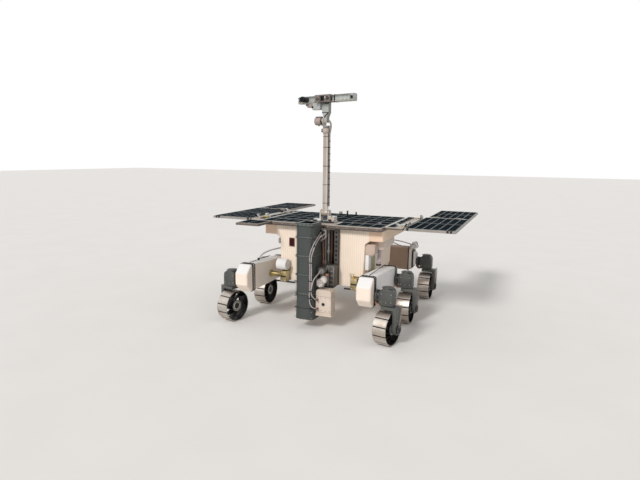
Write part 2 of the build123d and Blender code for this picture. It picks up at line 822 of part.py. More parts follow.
def make_equipment():
    """Boxes and a panel on the left flank, a disc on the right one and the drum in front of it."""
    inner, outer, front, rear, bottom = grey_box
    peach_front, peach_rear, peach_bottom, peach_top = peach_box
    white_front, white_rear, white_bottom = white_box
    panel_front, panel_rear, panel_bottom, panel_top = flank_panel
    flank = body_step_half + seat_gap
    slope = (body_step_half - body_low_half) / (body_step_z - body_corner_z)
    panel_flank = body_step_half - slope * (body_step_z - panel_top) + seat_gap
    with BuildPart() as boxes:
        add(rounded_box(inner, outer, front_axle_y + front, front_axle_y + rear, bottom,
                        side_box_bottom - seat_gap, grey_box_round))
        add(rounded_box(flank, peach_box_outer, front_axle_y + peach_front, front_axle_y + peach_rear,
                        peach_bottom, peach_top, peach_box_round))
        block(flank, white_box_outer, front_axle_y + white_front, front_axle_y + white_rear,
              white_bottom, peach_bottom - seat_gap)
        block(panel_flank, panel_flank + flank_panel_thick, front_axle_y + panel_front,
              front_axle_y + panel_rear, panel_bottom, panel_top)
        with BuildSketch(Plane.YZ.offset(-flank - wall_disc_thick)):
            with Locations((front_axle_y + wall_disc_y_from_axle, wall_disc_z)):
                RegularPolygon(wall_disc_radius, small_sides)
        extrude(amount=wall_disc_thick)
        with BuildSketch(Plane.YZ.offset(-drum_inner - drum_length)):
            with Locations((body_front_y - drum_radius - seat_gap, drum_z)):
                RegularPolygon(drum_radius, large_sides)
        extrude(amount=drum_length)
    return boxes.part


def make_deck():
    """Fixed deck panel: rim, skin, the two side strips and the small forward panel."""
    with BuildPart() as deck:
        with BuildSketch(Plane.XY.offset(deck_top - deck_skin)):
            with Locations((0, deck_front_y + deck_length / 2)):
                Rectangle(2 * deck_half, deck_length)
            for side in (1, -1):
                with Locations((side * (deck_half + strip_outer) / 2, strip_front_y + strip_length / 2)):
                    Rectangle(strip_outer - deck_half, strip_length)
            with Locations((front_panel_x, front_panel_front_y + front_panel_length / 2)):
                Rectangle(front_panel_width, front_panel_length)
        extrude(amount=deck_skin)
        with BuildSketch(Plane.XY.offset(deck_bottom)):
            with Locations((0, deck_front_y + deck_length / 2)):
                Rectangle(2 * deck_half, deck_length)
                Rectangle(2 * (deck_half - deck_rim), deck_length - 2 * deck_rim, mode=Mode.SUBTRACT)
        extrude(amount=deck_top - deck_skin - deck_bottom)
    return deck.part


def make_cells(fields, base_z):
    """Thin solar cells in a grid over each field of a panel, a gap between neighbours."""
    with BuildPart() as cells:
        with BuildSketch(Plane.XY.offset(base_z)):
            for left, right, front, rear, columns, rows in fields:
                pitch_x = (right - left - 2 * cell_margin + cell_gap) / columns
                pitch_y = (rear - front - 2 * cell_margin + cell_gap) / rows
                with Locations(((left + right) / 2, (front + rear) / 2)):
                    with GridLocations(pitch_x, pitch_y, columns, rows):
                        Rectangle(pitch_x - cell_gap, pitch_y - cell_gap)
        extrude(amount=cell_thick)
    return cells.part


def make_deck_fittings():
    """Small antennas, knobs and hold-down clamps on the deck and its side strips."""
    with BuildPart() as fittings:
        for fitting_list, seat in ((cell_fittings, deck_top + cell_thick + seat_gap),
                                   (strip_fittings, deck_top + seat_gap)):
            for x, y_from_axle, length, width, height in fitting_list:
                y = front_axle_y + y_from_axle
                block(x - length / 2, x + length / 2, y - width / 2, y + width / 2, seat, seat + height)
    return fittings.part


def lug_outline(toward, half_gap, drop, half):
    """Hinge lug seen along its pin: an eight-sided eye and an arm down to its foot on the panel."""
    RegularPolygon(half, 8, major_radius=False, rotation=180 / 8)
    Polygon(
        (0, half),
        (toward * (half_gap + hinge_foot), leaf_thick - drop),
        (toward * (half_gap + hinge_foot), -drop),
        (toward * half_gap, -drop),
        (0, -half),
        align=None,
    )


def lug_span(place, way):
    """Lowest and highest place along the pin of the lug with the bore, beside the one with the pin."""
    start = lug_length / 2 + lug_clearance
    ends = (place + way * start, place + way * (start + lug_length - lug_clearance))
    return min(ends), max(ends)


def pin_span(place, way):
    """Lowest and highest place along a hinge of its pin, which starts inside its own lug."""
    ends = (place, place + way * 1.5 * lug_length)
    return min(ends), max(ends)


def hinge_plane(side, y):
    """Plane across a wing hinge at one place along it; X is +X and Y is up."""
    return Plane(origin=(side * wing_hinge_x, y, wing_hinge_z), x_dir=(1, 0, 0), z_dir=(0, -1, 0))


def joint_plane(x):
    """Plane across the hinge between two wing panels; X points back and Y is up."""
    origin = (x, wing_joint_y + wing_joint_gap / 2, joint_hinge_z)
    return Plane(origin=origin, x_dir=(0, 1, 0), z_dir=(1, 0, 0))


def make_wing_hinges():
    """Fixed halves of the wing hinges, each with its pin, on the deck's side strips."""
    half_gap = wing_hinge_x - strip_outer
    drop = wing_hinge_z - deck_top
    with BuildPart() as hinges:
        for side in (1, -1):
            for y, way in wing_hinge_places:
                with BuildSketch(hinge_plane(side, y + lug_length / 2)):
                    lug_outline(-side, half_gap, drop, lug_half)
                extrude(amount=lug_length)
                low, high = pin_span(y, way)
                with BuildSketch(hinge_plane(side, high)):
                    Circle(hinge_pin_radius)
                extrude(amount=high - low)
    return hinges.part


def joint_hinge_places(side):
    """Places across the wing of the hinges between its two panels, and which way each pin points."""
    return [(side * (wing_inner + joint_hinge_inset), side),
            (side * (wing_outer - joint_hinge_inset), -side)]


def make_wing_front(side):
    """Front wing panel with the moving halves of its hinges and the fixed halves of the next."""
    half_gap = wing_hinge_x - strip_outer
    drop = wing_hinge_z - deck_top
    joint_drop = joint_hinge_z - deck_top
    with BuildPart() as wing:
        with BuildSketch(Plane.XY.offset(deck_top - wing_thick)):
            with Locations((side * (wing_inner + wing_outer) / 2, wing_front_y + wing_front_length / 2)):
                Rectangle(wing_outer - wing_inner, wing_front_length)
        extrude(amount=wing_thick)
        for y, way in wing_hinge_places:
            low, high = lug_span(y, way)
            with BuildSketch(hinge_plane(side, high)):
                lug_outline(side, half_gap, drop, lug_half)
                RegularPolygon(hinge_pin_radius + running_fit, pin_sides, major_radius=False,
                               mode=Mode.SUBTRACT)
            extrude(amount=high - low)
        for x, way in joint_hinge_places(side):
            with BuildSketch(joint_plane(x - lug_length / 2)):
                lug_outline(-1, wing_joint_gap / 2, joint_drop, joint_lug_half)
            extrude(amount=lug_length)
            low, high = pin_span(x, way)
            with BuildSketch(joint_plane(low)):
                Circle(hinge_pin_radius)
            extrude(amount=high - low)
    return wing.part


def make_wing_rear(side):
    """Rear wing panel, set in to clear the wing hinges when folded, with its hinges' moving halves."""
    joint_drop = joint_hinge_z - deck_top
    inner = wing_inner + wing_rear_inset
    with BuildPart() as wing:
        with BuildSketch(Plane.XY.offset(deck_top - wing_thick)):
            with Locations((side * (inner + wing_outer) / 2, wing_rear_y + wing_rear_length / 2)):
                Rectangle(wing_outer - inner, wing_rear_length)
        extrude(amount=wing_thick)
        for x, way in joint_hinge_places(side):
            low, high = lug_span(x, way)
            with BuildSketch(joint_plane(low)):
                lug_outline(1, wing_joint_gap / 2, joint_drop, joint_lug_half)
                RegularPolygon(hinge_pin_radius + running_fit, pin_sides, major_radius=False,
                               mode=Mode.SUBTRACT)
            extrude(amount=high - low)
    return wing.part


def wing_field(side, inner, front, length, columns, rows):
    """Cell field over one wing panel."""
    edges = sorted((side * inner, side * wing_outer))
    return [(edges[0], edges[1], front, front + length, columns, rows)]


def make_mast_base():
    """Deck plate with its blocks, two cheeks and the hinge pin that the mast folds on."""
    with BuildPart() as base:
        with BuildSketch(Plane.XY.offset(deck_top)):
            with Locations((0, mast_y)):
                Rectangle(base_length, base_depth)
        extrude(amount=base_thick)
        block_inner = base_length / 2 - base_block_width
        plate_top = deck_top + base_thick
        block(block_inner, base_length / 2, mast_y - base_block_depth / 2, mast_y + base_block_depth / 2,
              plate_top - overlap, plate_top + base_block_height)
        block(-base_length / 2, -block_inner, mast_y - base_block_depth / 2, mast_y + base_block_depth / 2,
              plate_top - overlap, plate_top + base_plate_height)
        for side in (1, -1):
            with BuildSketch(Plane.YZ.offset(side * cheek_gap / 2)):
                with Locations((mast_y, (deck_top + base_thick + mast_hinge_z) / 2)):
                    Rectangle(cheek_depth, mast_hinge_z - deck_top - base_thick)
                with Locations((mast_y, mast_hinge_z)):
                    Circle(cheek_depth / 2)
            extrude(amount=side * cheek_thick)
        with BuildSketch(Plane.YZ.offset(-cheek_gap / 2 - cheek_thick)):
            with Locations((mast_y, mast_hinge_z)):
                Circle(hinge_radius)
        extrude(amount=cheek_gap + 2 * cheek_thick)
    return base.part


def make_mast():
    """Mast tube with its hinge foot, top collar and the flat harness up its left side."""
    harness_bottom = mast_hinge_z + 2 * foot_radius
    with BuildPart() as mast:
        with BuildSketch(Plane.YZ.offset(-foot_width / 2)):
            with Locations((mast_y, mast_hinge_z)):
                RegularPolygon(foot_radius, small_sides)
        extrude(amount=foot_width)
        with BuildSketch(Plane.XY.offset(mast_hinge_z)):
            with Locations((0, mast_y)):
                Circle(mast_radius)
        extrude(amount=mast_length)
        with BuildSketch(Plane.YZ.offset(-foot_width / 2)):
            with Locations((mast_y, mast_hinge_z)):
                RegularPolygon(hinge_radius + running_fit, small_sides, major_radius=False)
        extrude(amount=foot_width, mode=Mode.SUBTRACT)
        with BuildSketch(Plane.XY.offset(mast_top)):
            with Locations((0, mast_y)):
                Circle(collar_radius)
        extrude(amount=collar_height)
        chamfer(mast.faces().sort_by(Axis.Z)[-1].edges(), collar_edge)
        with BuildSketch(Plane.XY.offset(harness_bottom)):
            with Locations((mast_radius + harness_thick / 2 - overlap, mast_y)):
                Rectangle(harness_thick, harness_width)
        extrude(amount=mast_top - harness_bottom)
    return mast.part


def head_plane(forward=0.0, up=0.0):
    """Upright plane through the mast line, turned with the camera head; Z points forward."""
    turn = radians(head_pan)
    ahead = Vector(sin(turn), -cos(turn), 0)
    origin = Vector(0, mast_y, up) + ahead * forward
    return Plane(origin=origin, x_dir=(cos(turn), sin(turn), 0), z_dir=ahead)


def tilt_plane(rightwards=0.0):
    """Plane across the tilt axis; Z points to the head's right."""
    facing = head_plane(0, tilt_z)
    return Plane(origin=facing.origin, x_dir=facing.z_dir, z_dir=-facing.x_dir).offset(rightwards)


def make_pan_head():
    """Turntable, upright lug and the tilt motor that lies to its right."""
    base_z = mast_top + collar_height + pan_gap
    lug_low = base_z + pan_base_thick - overlap
    with BuildPart() as pan:
        with BuildSketch(Plane.XY.offset(base_z)):
            with Locations((0, mast_y)):
                RegularPolygon(pan_base_radius, large_sides)
        extrude(amount=pan_base_thick)
        with BuildSketch(tilt_plane(yoke_inner)):
            Polygon((-yoke_half, lug_low - tilt_z), (-yoke_half, yoke_half / 2),
                    (-yoke_half / 2, yoke_half), (yoke_half / 2, yoke_half),
                    (yoke_half, yoke_half / 2), (yoke_half, lug_low - tilt_z), align=None)
        extrude(amount=yoke_thick)
        with BuildSketch(tilt_plane(yoke_inner + yoke_thick - overlap)):
            RegularPolygon(tilt_pin_radius, small_sides)
        extrude(amount=tilt_motor_start - yoke_inner - yoke_thick + 2 * overlap)
        with BuildSketch(tilt_plane(tilt_motor_start)):
            RegularPolygon(tilt_motor_radius, large_sides)
        extrude(amount=tilt_motor_length)
        with BuildSketch(tilt_plane(-tilt_pin_start)):
            RegularPolygon(tilt_pin_radius, small_sides)
        extrude(amount=tilt_pin_start + yoke_inner + overlap)
    return pan.part


def make_head():
    """Camera bench on its neck; the neck's foot turns on the tilt pin."""
    bench_bottom = head_rise - head_height / 2
    neck_bottom = bench_bottom - neck_height
    foot_top = yoke_half + joint_gap
    with BuildPart() as head:
        with BuildSketch(head_plane(-neck_depth / 2, tilt_z)):
            Polygon((-foot_half_width, -foot_half_width), (-foot_half_width, foot_top),
                    (-neck_width / 2, neck_bottom), (-neck_width / 2, bench_bottom + overlap),
                    (neck_width / 2, bench_bottom + overlap), (neck_width / 2, neck_bottom),
                    (foot_half_width, foot_top), (foot_half_width, -foot_half_width), align=None)
        extrude(amount=neck_depth)
        with BuildSketch(head_plane(-head_depth / 2, head_z)):
            Rectangle(head_length, head_height)
        extrude(amount=head_depth)
        chamfer(head.faces().sort_by(Axis.Z)[-1].edges(), head_edge)
        with BuildSketch(head_plane(head_depth / 2, head_z)):
            with Locations((-lens_spacing / 2, 0), (lens_spacing / 2, 0)):
                Circle(lens_radius)
        extrude(amount=-lens_recess, mode=Mode.SUBTRACT)
        with BuildSketch(tilt_plane(-foot_half_width)):
            Circle(tilt_pin_radius + running_fit)
        extrude(amount=2 * foot_half_width, mode=Mode.SUBTRACT)
    return head.part


def make_cameras():
    """The long lens, the framed close-up unit on the bench's face and the boxes under it."""
    front = head_depth / 2 + seat_gap
    under = head_z - head_height / 2 - seat_gap
    with BuildPart() as cameras:
        with BuildSketch(head_plane(front, head_z)):
            with Locations((long_lens_u, 0)):
                Circle(long_lens_radius)
        extrude(amount=long_lens_length)
        with BuildSketch(head_plane(front, head_z)):
            with Locations((centre_frame_u, 0)):
                Rectangle(centre_frame_width, centre_frame_height)
        extrude(amount=centre_frame_depth)
        with BuildSketch(head_plane(front + centre_frame_depth, head_z)):
            with Locations((centre_frame_u, 0)):
                Rectangle(centre_window, centre_window)
        extrude(amount=-centre_window_depth, mode=Mode.SUBTRACT)
        with BuildSketch(head_plane(front + centre_frame_depth - overlap, head_z)):
            with Locations((centre_frame_u - centre_stub_u, 0), (centre_frame_u + centre_stub_u, 0)):
                RegularPolygon(centre_stub_radius, small_sides)
        extrude(amount=centre_stub_length + overlap)
        for u, width, height, depth in ((under_box_u, under_box_width, under_box_height, under_box_depth),
                                        (small_box_u, small_box_width, small_box_height, small_box_depth)):
            with BuildSketch(head_plane(-depth / 2, under - height / 2)):
                with Locations((u, 0)):
                    Rectangle(width, height)
            extrude(amount=depth)
    return cameras.part


def make_rack():
    """Lift rail beside the bay, with its row of tooth slots."""
    rail_x = bay_right + rack_width / 2
    rail_front = body_front_y - rack_depth
    with BuildPart() as rack:
        with BuildSketch(across(rail_front)):
            with Locations((-rail_x, (rack_bottom + rack_top) / 2)):
                Rectangle(rack_width, rack_top - rack_bottom)
        extrude(amount=rack_depth)
        with BuildSketch(across(rail_front)):
            with Locations((-rail_x, (rack_bottom + rack_top) / 2)):
                with GridLocations(rack_width, rack_tooth_pitch, 1, rack_tooth_count):
                    Rectangle(rack_notch_width, rack_notch_height)
        extrude(amount=rack_notch_depth, mode=Mode.SUBTRACT)
    return rack.part


def make_bay_rods():
    """Pipe with its clamp, thin rods, flat bars and the top bar in the bay, and the hanging tube."""
    bottom = bay_bottom + seat_gap
    top = bay_top - seat_gap
    line_y = body_front_y + rod_clearance
    bar_top = top - top_bar_height
    with BuildPart() as rods:
        with BuildSketch(Plane.XY.offset(bottom)):
            with Locations((pipe_x, line_y)):
                RegularPolygon(pipe_radius, pin_sides)
        extrude(amount=bar_top + overlap - bottom)
        with BuildSketch(Plane.XY.offset(pipe_clamp_z - pipe_clamp_height / 2)):
            with Locations((pipe_x, line_y)):
                RegularPolygon(pipe_clamp_radius, pin_sides)
        extrude(amount=pipe_clamp_height)
        for x in rod_places:
            for radius, z, height in ((rod_radius, bottom, bar_top + overlap - bottom),
                                      (rod_bottom_radius, bottom + rod_bottom_length, rod_bottom_length)):
                with BuildSketch(Plane.XY.offset(z)):
                    with Locations((x, line_y)):
                        RegularPolygon(radius, pin_sides)
                extrude(amount=height)
        for x in bar_places:
            block(x - bar_width / 2, x + bar_width / 2, line_y - bar_depth / 2, line_y + bar_depth / 2,
                  bottom, bar_top + overlap)
        block(bay_left + seat_gap, bay_right - seat_gap, line_y - top_bar_depth / 2,
              line_y + top_bar_depth / 2, bar_top, top)
        with BuildSketch(Plane.XY.offset(deck_top - deck_skin - seat_gap)):
            with Locations((hanger_x, body_front_y - hanger_forward)):
                RegularPolygon(hanger_radius, pin_sides)
        extrude(amount=-hanger_length)
    return rods.part


def make_carriage():
    """Lift carriage that runs on the rail and carries the drill's turning pin."""
    carriage_front = drill_rear_y + carriage_gap
    carriage_back = body_front_y - rack_depth - rail_gap
    right = bay_right + rack_width
    with BuildPart() as carriage:
        with BuildSketch(across(carriage_front)):
            with Locations((-(carriage_left + right) / 2, (carriage_bottom + carriage_top) / 2)):
                chamfer(Rectangle(right - carriage_left, carriage_top - carriage_bottom).vertices(),
                        carriage_edge)
        extrude(amount=carriage_back - carriage_front)
        with BuildSketch(across(carriage_front - carriage_gap - turn_pin_grip)):
            with Locations((-turn_x, turn_z)):
                Circle(turn_pin_radius)
        extrude(amount=carriage_gap + turn_pin_grip + overlap)
    return carriage.part


def drill_outline(grow):
    """Plan of the drill box: flat back, front corners rounded in a few facets."""
    left, right = drill_left - grow, drill_right + grow
    front, rear = drill_front_y - grow, drill_rear_y + grow
    rounding = drill_round + grow
    angles = [pi / 2 * i / drill_facets for i in range(drill_facets + 1)]
    corner = [(cos(angle), sin(angle)) for angle in angles]
    left_side = [(left + rounding * (1 - c), front + rounding * (1 - s)) for c, s in corner]
    right_side = [(right - rounding * (1 - c), front + rounding * (1 - s)) for c, s in reversed(corner)]
    Polygon((left, rear), *left_side, *right_side, (right, rear), align=None)


def make_drill():
    """Drill box with four raised bands, a rim and a flared foot."""
    foot_top = drill_bottom + drill_foot_height
    with BuildPart() as drill:
        with BuildSketch(Plane.XY.offset(drill_bottom)):
            drill_outline(drill_foot_flare)
        with BuildSketch(Plane.XY.offset(foot_top)):
            drill_outline(0)
        loft()
        with BuildSketch(Plane.XY.offset(foot_top - overlap)):
            drill_outline(0)
        extrude(amount=drill_top - foot_top + overlap)
        for z in drill_bands:
            with BuildSketch(Plane.XY.offset(z - band_height / 2)):
                drill_outline(band_out)
            extrude(amount=band_height)
        with BuildSketch(Plane.XY.offset(drill_top - drill_rim_height)):
            drill_outline(band_out)
        extrude(amount=drill_rim_height)
    return drill.part


def gear_outline(grow):
    """Two round covers that overlap side by side, in a plane across the rover."""
    large = (-gear_large_x, gear_large_z)
    small = (-gear_small_x, gear_small_z)
    with Locations(large):
        RegularPolygon(gear_large_radius + grow, large_sides)
    with Locations(small):
        RegularPolygon(gear_small_radius + grow, large_sides)


def make_drill_bracket():
    """Bracket of the drill box with the bore that turns on the lift's pin, and the gearbox housing."""
    bracket_back = drill_rear_y - bracket_inset
    cover_back = drill_front_y + gear_cover_front + gear_cover_thick
    seat = drill_right + seat_gap
    with BuildPart() as bracket:
        with BuildSketch(across(bracket_back - bracket_thick)):
            with Locations((-(seat + turn_x) / 2, turn_z)):
                Rectangle(turn_x - seat, 2 * bracket_radius)
            with Locations((-turn_x, turn_z)):
                RegularPolygon(bracket_radius, large_sides)
            with Locations((-turn_x, turn_z)):
                RegularPolygon(turn_pin_radius + bore_clearance, large_sides, major_radius=False,
                               mode=Mode.SUBTRACT)
            with Locations(*[(-drill_right, z) for z in drill_bands]):
                Rectangle(2 * (band_out + overlap), band_height + 2 * overlap, mode=Mode.SUBTRACT)
        extrude(amount=bracket_thick)
        with BuildSketch(across(cover_back + seat_gap)):
            gear_outline(-gear_housing_grow)
            with Locations((-(seat + gear_large_x) / 2, gear_large_z)):
                Rectangle(gear_large_x - seat, gear_foot_height)
        extrude(amount=gear_housing_thick)
    return bracket.part


def make_instrument():
    """Close-up instrument box on two feet at the drill box's left side, and the gearbox cover."""
    left = instrument_left
    right = left + instrument_width
    rear = instrument_front_y + instrument_depth
    middle_y = (instrument_front_y + rear) / 2
    with BuildPart() as box:
        with BuildSketch(across(instrument_front_y)) as face:
            with Locations((-(left + right) / 2, instrument_bottom + instrument_height / 2)):
                Rectangle(instrument_width, instrument_height)
            chamfer(face.vertices().group_by(Axis.Y)[-1], instrument_edge)
        extrude(amount=instrument_depth)
        block(left, right + instrument_flange, instrument_front_y - instrument_flange,
              rear + instrument_flange, instrument_bottom - overlap,
              instrument_bottom + instrument_flange_thick)
        for rise in (instrument_foot_low, instrument_foot_high):
            z = instrument_bottom + rise
            flare = drill_foot_flare * (drill_bottom + drill_foot_height - z) / drill_foot_height
            block(drill_right + flare + seat_gap, left + overlap, middle_y - instrument_depth / 4,
                  middle_y + instrument_depth / 4, z, z + instrument_foot_height)
        with BuildSketch(across(drill_front_y + gear_cover_front)):
            gear_outline(0)
        extrude(amount=gear_cover_thick)
    return box.part


def make_drill_cables():
    """Two cables held down the drill box's front edge to the instrument, and the lift's branch."""
    with BuildPart() as cables:
        for name, route in drill_routes:
            add(cable(name, route, cable_radius))
        for x, z in ((low_plug_x, low_plug_z), (high_plug_x, high_plug_z)):
            with BuildSketch(across(instrument_front_y - plug_length)):
                with Locations((-x, z)):
                    RegularPolygon(plug_radius, pin_sides)
            extrude(amount=plug_length - seat_gap)
    return cables.part


def make_body_cables():
    """Cable bundle to the left beam and the cables that hang to the right and rear beams."""
    with BuildPart() as cables:
        for name, route, radius in body_routes:
            add(cable(name, route, radius))
    return cables.part


for name, side, axle_y, steer in stations:
    keep(make_wheel(side, axle_y, steer), f"wheel_{name}")
    keep(make_leg(side, axle_y, steer), f"leg_{name}")
keep(make_actuators(), "steering_actuators")
keep(make_side_beam(1), "bogie_beam_left")
keep(make_side_beam(-1), "bogie_beam_right")
keep(make_rear_beam(), "bogie_beam_rear")
keep(make_pivots(), "bogie_pivots")
keep(make_body(), "body_tub")
keep(make_side_boxes(), "side_boxes")
keep(make_equipment(), "equipment_boxes")
keep(make_deck(), "deck_panel")
keep(make_cells(deck_fields, deck_top), "deck_cells")
keep(make_deck_fittings(), "deck_fittings")
for side, hand in ((1, "left"), (-1, "right")):
    keep(make_wing_front(side), f"wing_{hand}_front")
    field = wing_field(side, wing_inner, wing_front_y, wing_front_length, wing_columns, wing_rows)
    keep(make_cells(field, deck_top), f"wing_{hand}_front_cells")
    keep(make_wing_rear(side), f"wing_{hand}_rear")
    field = wing_field(side, wing_inner + wing_rear_inset, wing_rear_y, wing_rear_length, wing_columns,
                       wing_rows)
    keep(make_cells(field, deck_top), f"wing_{hand}_rear_cells")
keep(make_wing_hinges(), "wing_hinges")
keep(make_mast_base(), "mast_base")
keep(make_mast(), "mast_tube")
keep(make_pan_head(), "pan_head")
keep(make_head(), "camera_bench")
keep(make_cameras(), "cameras")
keep(make_rack(), "drill_rack")
keep(make_bay_rods(), "bay_rods")
keep(make_carriage(), "drill_carriage")
keep(make_drill(), "drill_box")
keep(make_drill_bracket(), "drill_bracket")
keep(make_instrument(), "instrument_box")
keep(make_drill_cables(), "drill_cables")
keep(make_body_cables(), "body_cables")
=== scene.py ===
"""Looks of a six-wheeled planetary rover with folding solar wings, a camera mast and a drill box.

Metres, +Z up. The rover faces -Y and +X is its left side. Every piece is made in the frame of
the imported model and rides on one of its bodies.
"""
import json
from itertools import product
from math import atan2, cos, pi, radians, sin

import bmesh
import bpy
from mathutils import Matrix, Vector, noise
from mathutils.geometry import convex_hull_2d


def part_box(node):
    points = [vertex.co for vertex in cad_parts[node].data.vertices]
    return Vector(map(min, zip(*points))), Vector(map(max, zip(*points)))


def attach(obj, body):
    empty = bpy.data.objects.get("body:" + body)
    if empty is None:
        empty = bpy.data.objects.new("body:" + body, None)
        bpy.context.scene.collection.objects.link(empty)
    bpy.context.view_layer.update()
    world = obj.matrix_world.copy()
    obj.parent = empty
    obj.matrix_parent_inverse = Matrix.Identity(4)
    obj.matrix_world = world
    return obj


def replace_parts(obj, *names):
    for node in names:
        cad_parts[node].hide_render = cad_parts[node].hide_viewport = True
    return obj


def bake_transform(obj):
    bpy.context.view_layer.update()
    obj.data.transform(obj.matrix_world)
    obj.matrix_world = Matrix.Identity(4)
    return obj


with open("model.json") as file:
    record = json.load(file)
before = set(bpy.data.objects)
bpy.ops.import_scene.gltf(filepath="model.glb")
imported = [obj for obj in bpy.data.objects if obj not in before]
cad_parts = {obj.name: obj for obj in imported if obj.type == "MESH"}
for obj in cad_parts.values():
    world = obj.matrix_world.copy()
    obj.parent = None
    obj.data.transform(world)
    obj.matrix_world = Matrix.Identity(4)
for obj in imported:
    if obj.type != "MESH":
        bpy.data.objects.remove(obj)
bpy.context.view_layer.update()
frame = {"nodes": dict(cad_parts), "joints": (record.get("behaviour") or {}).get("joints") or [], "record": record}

STATIONS = ("front_left", "front_right", "middle_left", "middle_right", "rear_left", "rear_right")
SIDES = (("left", 1), ("right", -1))
X, Y, Z = Vector((1, 0, 0)), Vector((0, 1, 0)), Vector((0, 0, 1))
BODY_OF = {node: body for body, nodes in frame["record"]["behaviour"]["bodies"].items() for node in nodes}

# Camera, solved from the photograph
CAMERA_PLACE = Vector((1.7557, -4.6442, 1.4909))
CAMERA_YAW, CAMERA_PITCH, CAMERA_ROLL = radians(23.4), radians(9.5), radians(0.6)
CAMERA_LENS_MM = 28.125
CAMERA_SENSOR_MM = 36.0

# Light
SUN_STRENGTH = 2.0
SUN_SOFTNESS = radians(14)
SUN_FROM = Vector((-0.22, -0.95, 0.68))
SKY_STRENGTH = 0.58
FLOOR_HALF = 40.0


# ---- node trees and materials ----
class Nodes:
    """A node tree in the making: an input given a socket is linked to it, another value is set."""

    def __init__(self, tree):
        self.tree = tree

    def feed(self, socket, value):
        for source in value if isinstance(value, list) else [value]:
            if isinstance(source, bpy.types.NodeSocket):
                self.tree.links.new(source, socket)
            else:
                socket.default_value = source

    def add(self, kind, inputs=(), **values):
        """A new node, its inputs fed by name or number."""
        made = self.tree.nodes.new(kind)
        for key, value in values.items():
            setattr(made, key, value)
        for key, value in dict(inputs).items():
            self.feed(made.inputs[key], value)
        return made

    def out(self, kind, inputs=(), **values):
        """The first output of a new node."""
        return self.add(kind, inputs, **values).outputs[0]

    def maths(self, operation, a, b):
        return self.out("ShaderNodeMath", {0: a, 1: b}, operation=operation)


class Finish(Nodes):
    """Builder for a node material: patterns on object coordinates feed one shader."""

    def __init__(self, name, colour, roughness, metallic=0.0, **sockets):
        self.mat = bpy.data.materials.new(name)
        self.mat.use_nodes = True
        super().__init__(self.mat.node_tree)
        self.shade(Base_Color=(*colour, 1), Roughness=roughness, Metallic=metallic, **sockets)
        self.mat.diffuse_color = (*colour, 1)
        self.coords = self.add("ShaderNodeTexCoord").outputs["Object"]
        self.height = None

    def shade(self, **sockets):
        """Feeds the shader's inputs."""
        for label, value in sockets.items():
            self.feed(self.tree.nodes["Principled BSDF"].inputs[label.replace("_", " ")], value)

    def stretched(self, scale):
        return self.out("ShaderNodeMapping", {"Scale": scale, "Vector": self.coords})

    def noise(self, scale, detail=3.0, rough=0.5, coords=None):
        return self.add("ShaderNodeTexNoise", {"Scale": scale, "Detail": detail, "Roughness": rough,
                                               "Vector": coords or self.coords}).outputs["Fac"]

    def waves(self, scale, direction, coords=None):
        return self.add("ShaderNodeTexWave",
                        {"Scale": scale, "Distortion": 0.0, "Vector": coords or self.coords},
                        bands_direction=direction).outputs["Fac"]

    def span(self, value, low, high, to_low=0.0, to_high=1.0):
        """A value's run from low to high, mapped to another run."""
        return self.out("ShaderNodeMapRange", {"Value": value, "From Min": low, "From Max": high,
                                               "To Min": to_low, "To Max": to_high})

    def mix(self, factor, a, b):
        made = self.add("ShaderNodeMix", {"Factor": factor}, data_type="RGBA")
        for socket, value in zip([s for s in made.inputs if s.type == "RGBA"], (a, b)):
            self.feed(socket, (*value, 1) if isinstance(value, tuple) else value)
        return [s for s in made.outputs if s.type == "RGBA"][0]

    def bump(self, value, distance, strength):
        """Relief on top of the relief so far."""
        made = self.add("ShaderNodeBump", {"Distance": distance, "Strength": strength, "Height": value})
        if self.height is not None:
            self.feed(made.inputs["Normal"], self.height)
        self.height = made.outputs["Normal"]
        self.shade(Normal=self.height)


def dimmed(colour, share):
    """A colour at a share of its strength."""
    return tuple(channel * share for channel in colour)


def blanket(name, colour, shade, pitch=0.0):
    """Thermal blanket cloth: fine weave, crumple, faint tone and, where it has a pitch, sewn lines."""
    f = Finish(name, colour, 0.72, Sheen_Weight=0.12, Specular_IOR_Level=0.35)
    body = f.mix(f.span(f.noise(4.0, 4.0, 0.55), 0.35, 0.7), colour, shade)
    weave = f.maths("ADD", f.waves(260.0, "X"), f.waves(260.0, "Z"))
    if pitch:
        upright = f.span(f.waves(pi / 10 / pitch, "X"), 0.0, 0.14, 1.0, 0.0)
        level = f.span(f.waves(pi / 10 / pitch, "Z"), 0.0, 0.05, 0.45, 0.0)
        body = f.mix(f.maths("MAXIMUM", upright, level), body, dimmed(shade, 0.86))
    f.shade(Base_Color=body, Roughness=f.span(f.noise(60.0), 0.3, 0.7, 0.62, 0.80))
    f.bump(f.noise(38.0, 4.0, 0.6), 0.0014, 0.5)
    f.bump(weave, 0.00025, 0.5)
    return f.mat


def painted(name, colour, worn, rough, metal, speck=0.0, gloss=0.5):
    """Painted or anodised metal: slight mottling, rubbed tone, specks and a fine surface grain."""
    f = Finish(name, colour, rough, metal, Specular_IOR_Level=gloss)
    mottled = f.mix(f.span(f.noise(9.0, 5.0, 0.6), 0.38, 0.72), colour, worn)
    if speck:
        spots = f.span(f.noise(150.0, 2.0), 0.68, 0.74, 0.0, speck)
        mottled = f.mix(spots, mottled, tuple(min(1, c * 1.8 + 0.02) for c in worn))
    f.shade(Base_Color=mottled, Roughness=f.span(f.noise(45.0, 4.0), 0.3, 0.7, rough - 0.08, rough + 0.12))
    f.bump(f.noise(400.0, 2.0), 0.00005, 0.4)
    return f.mat


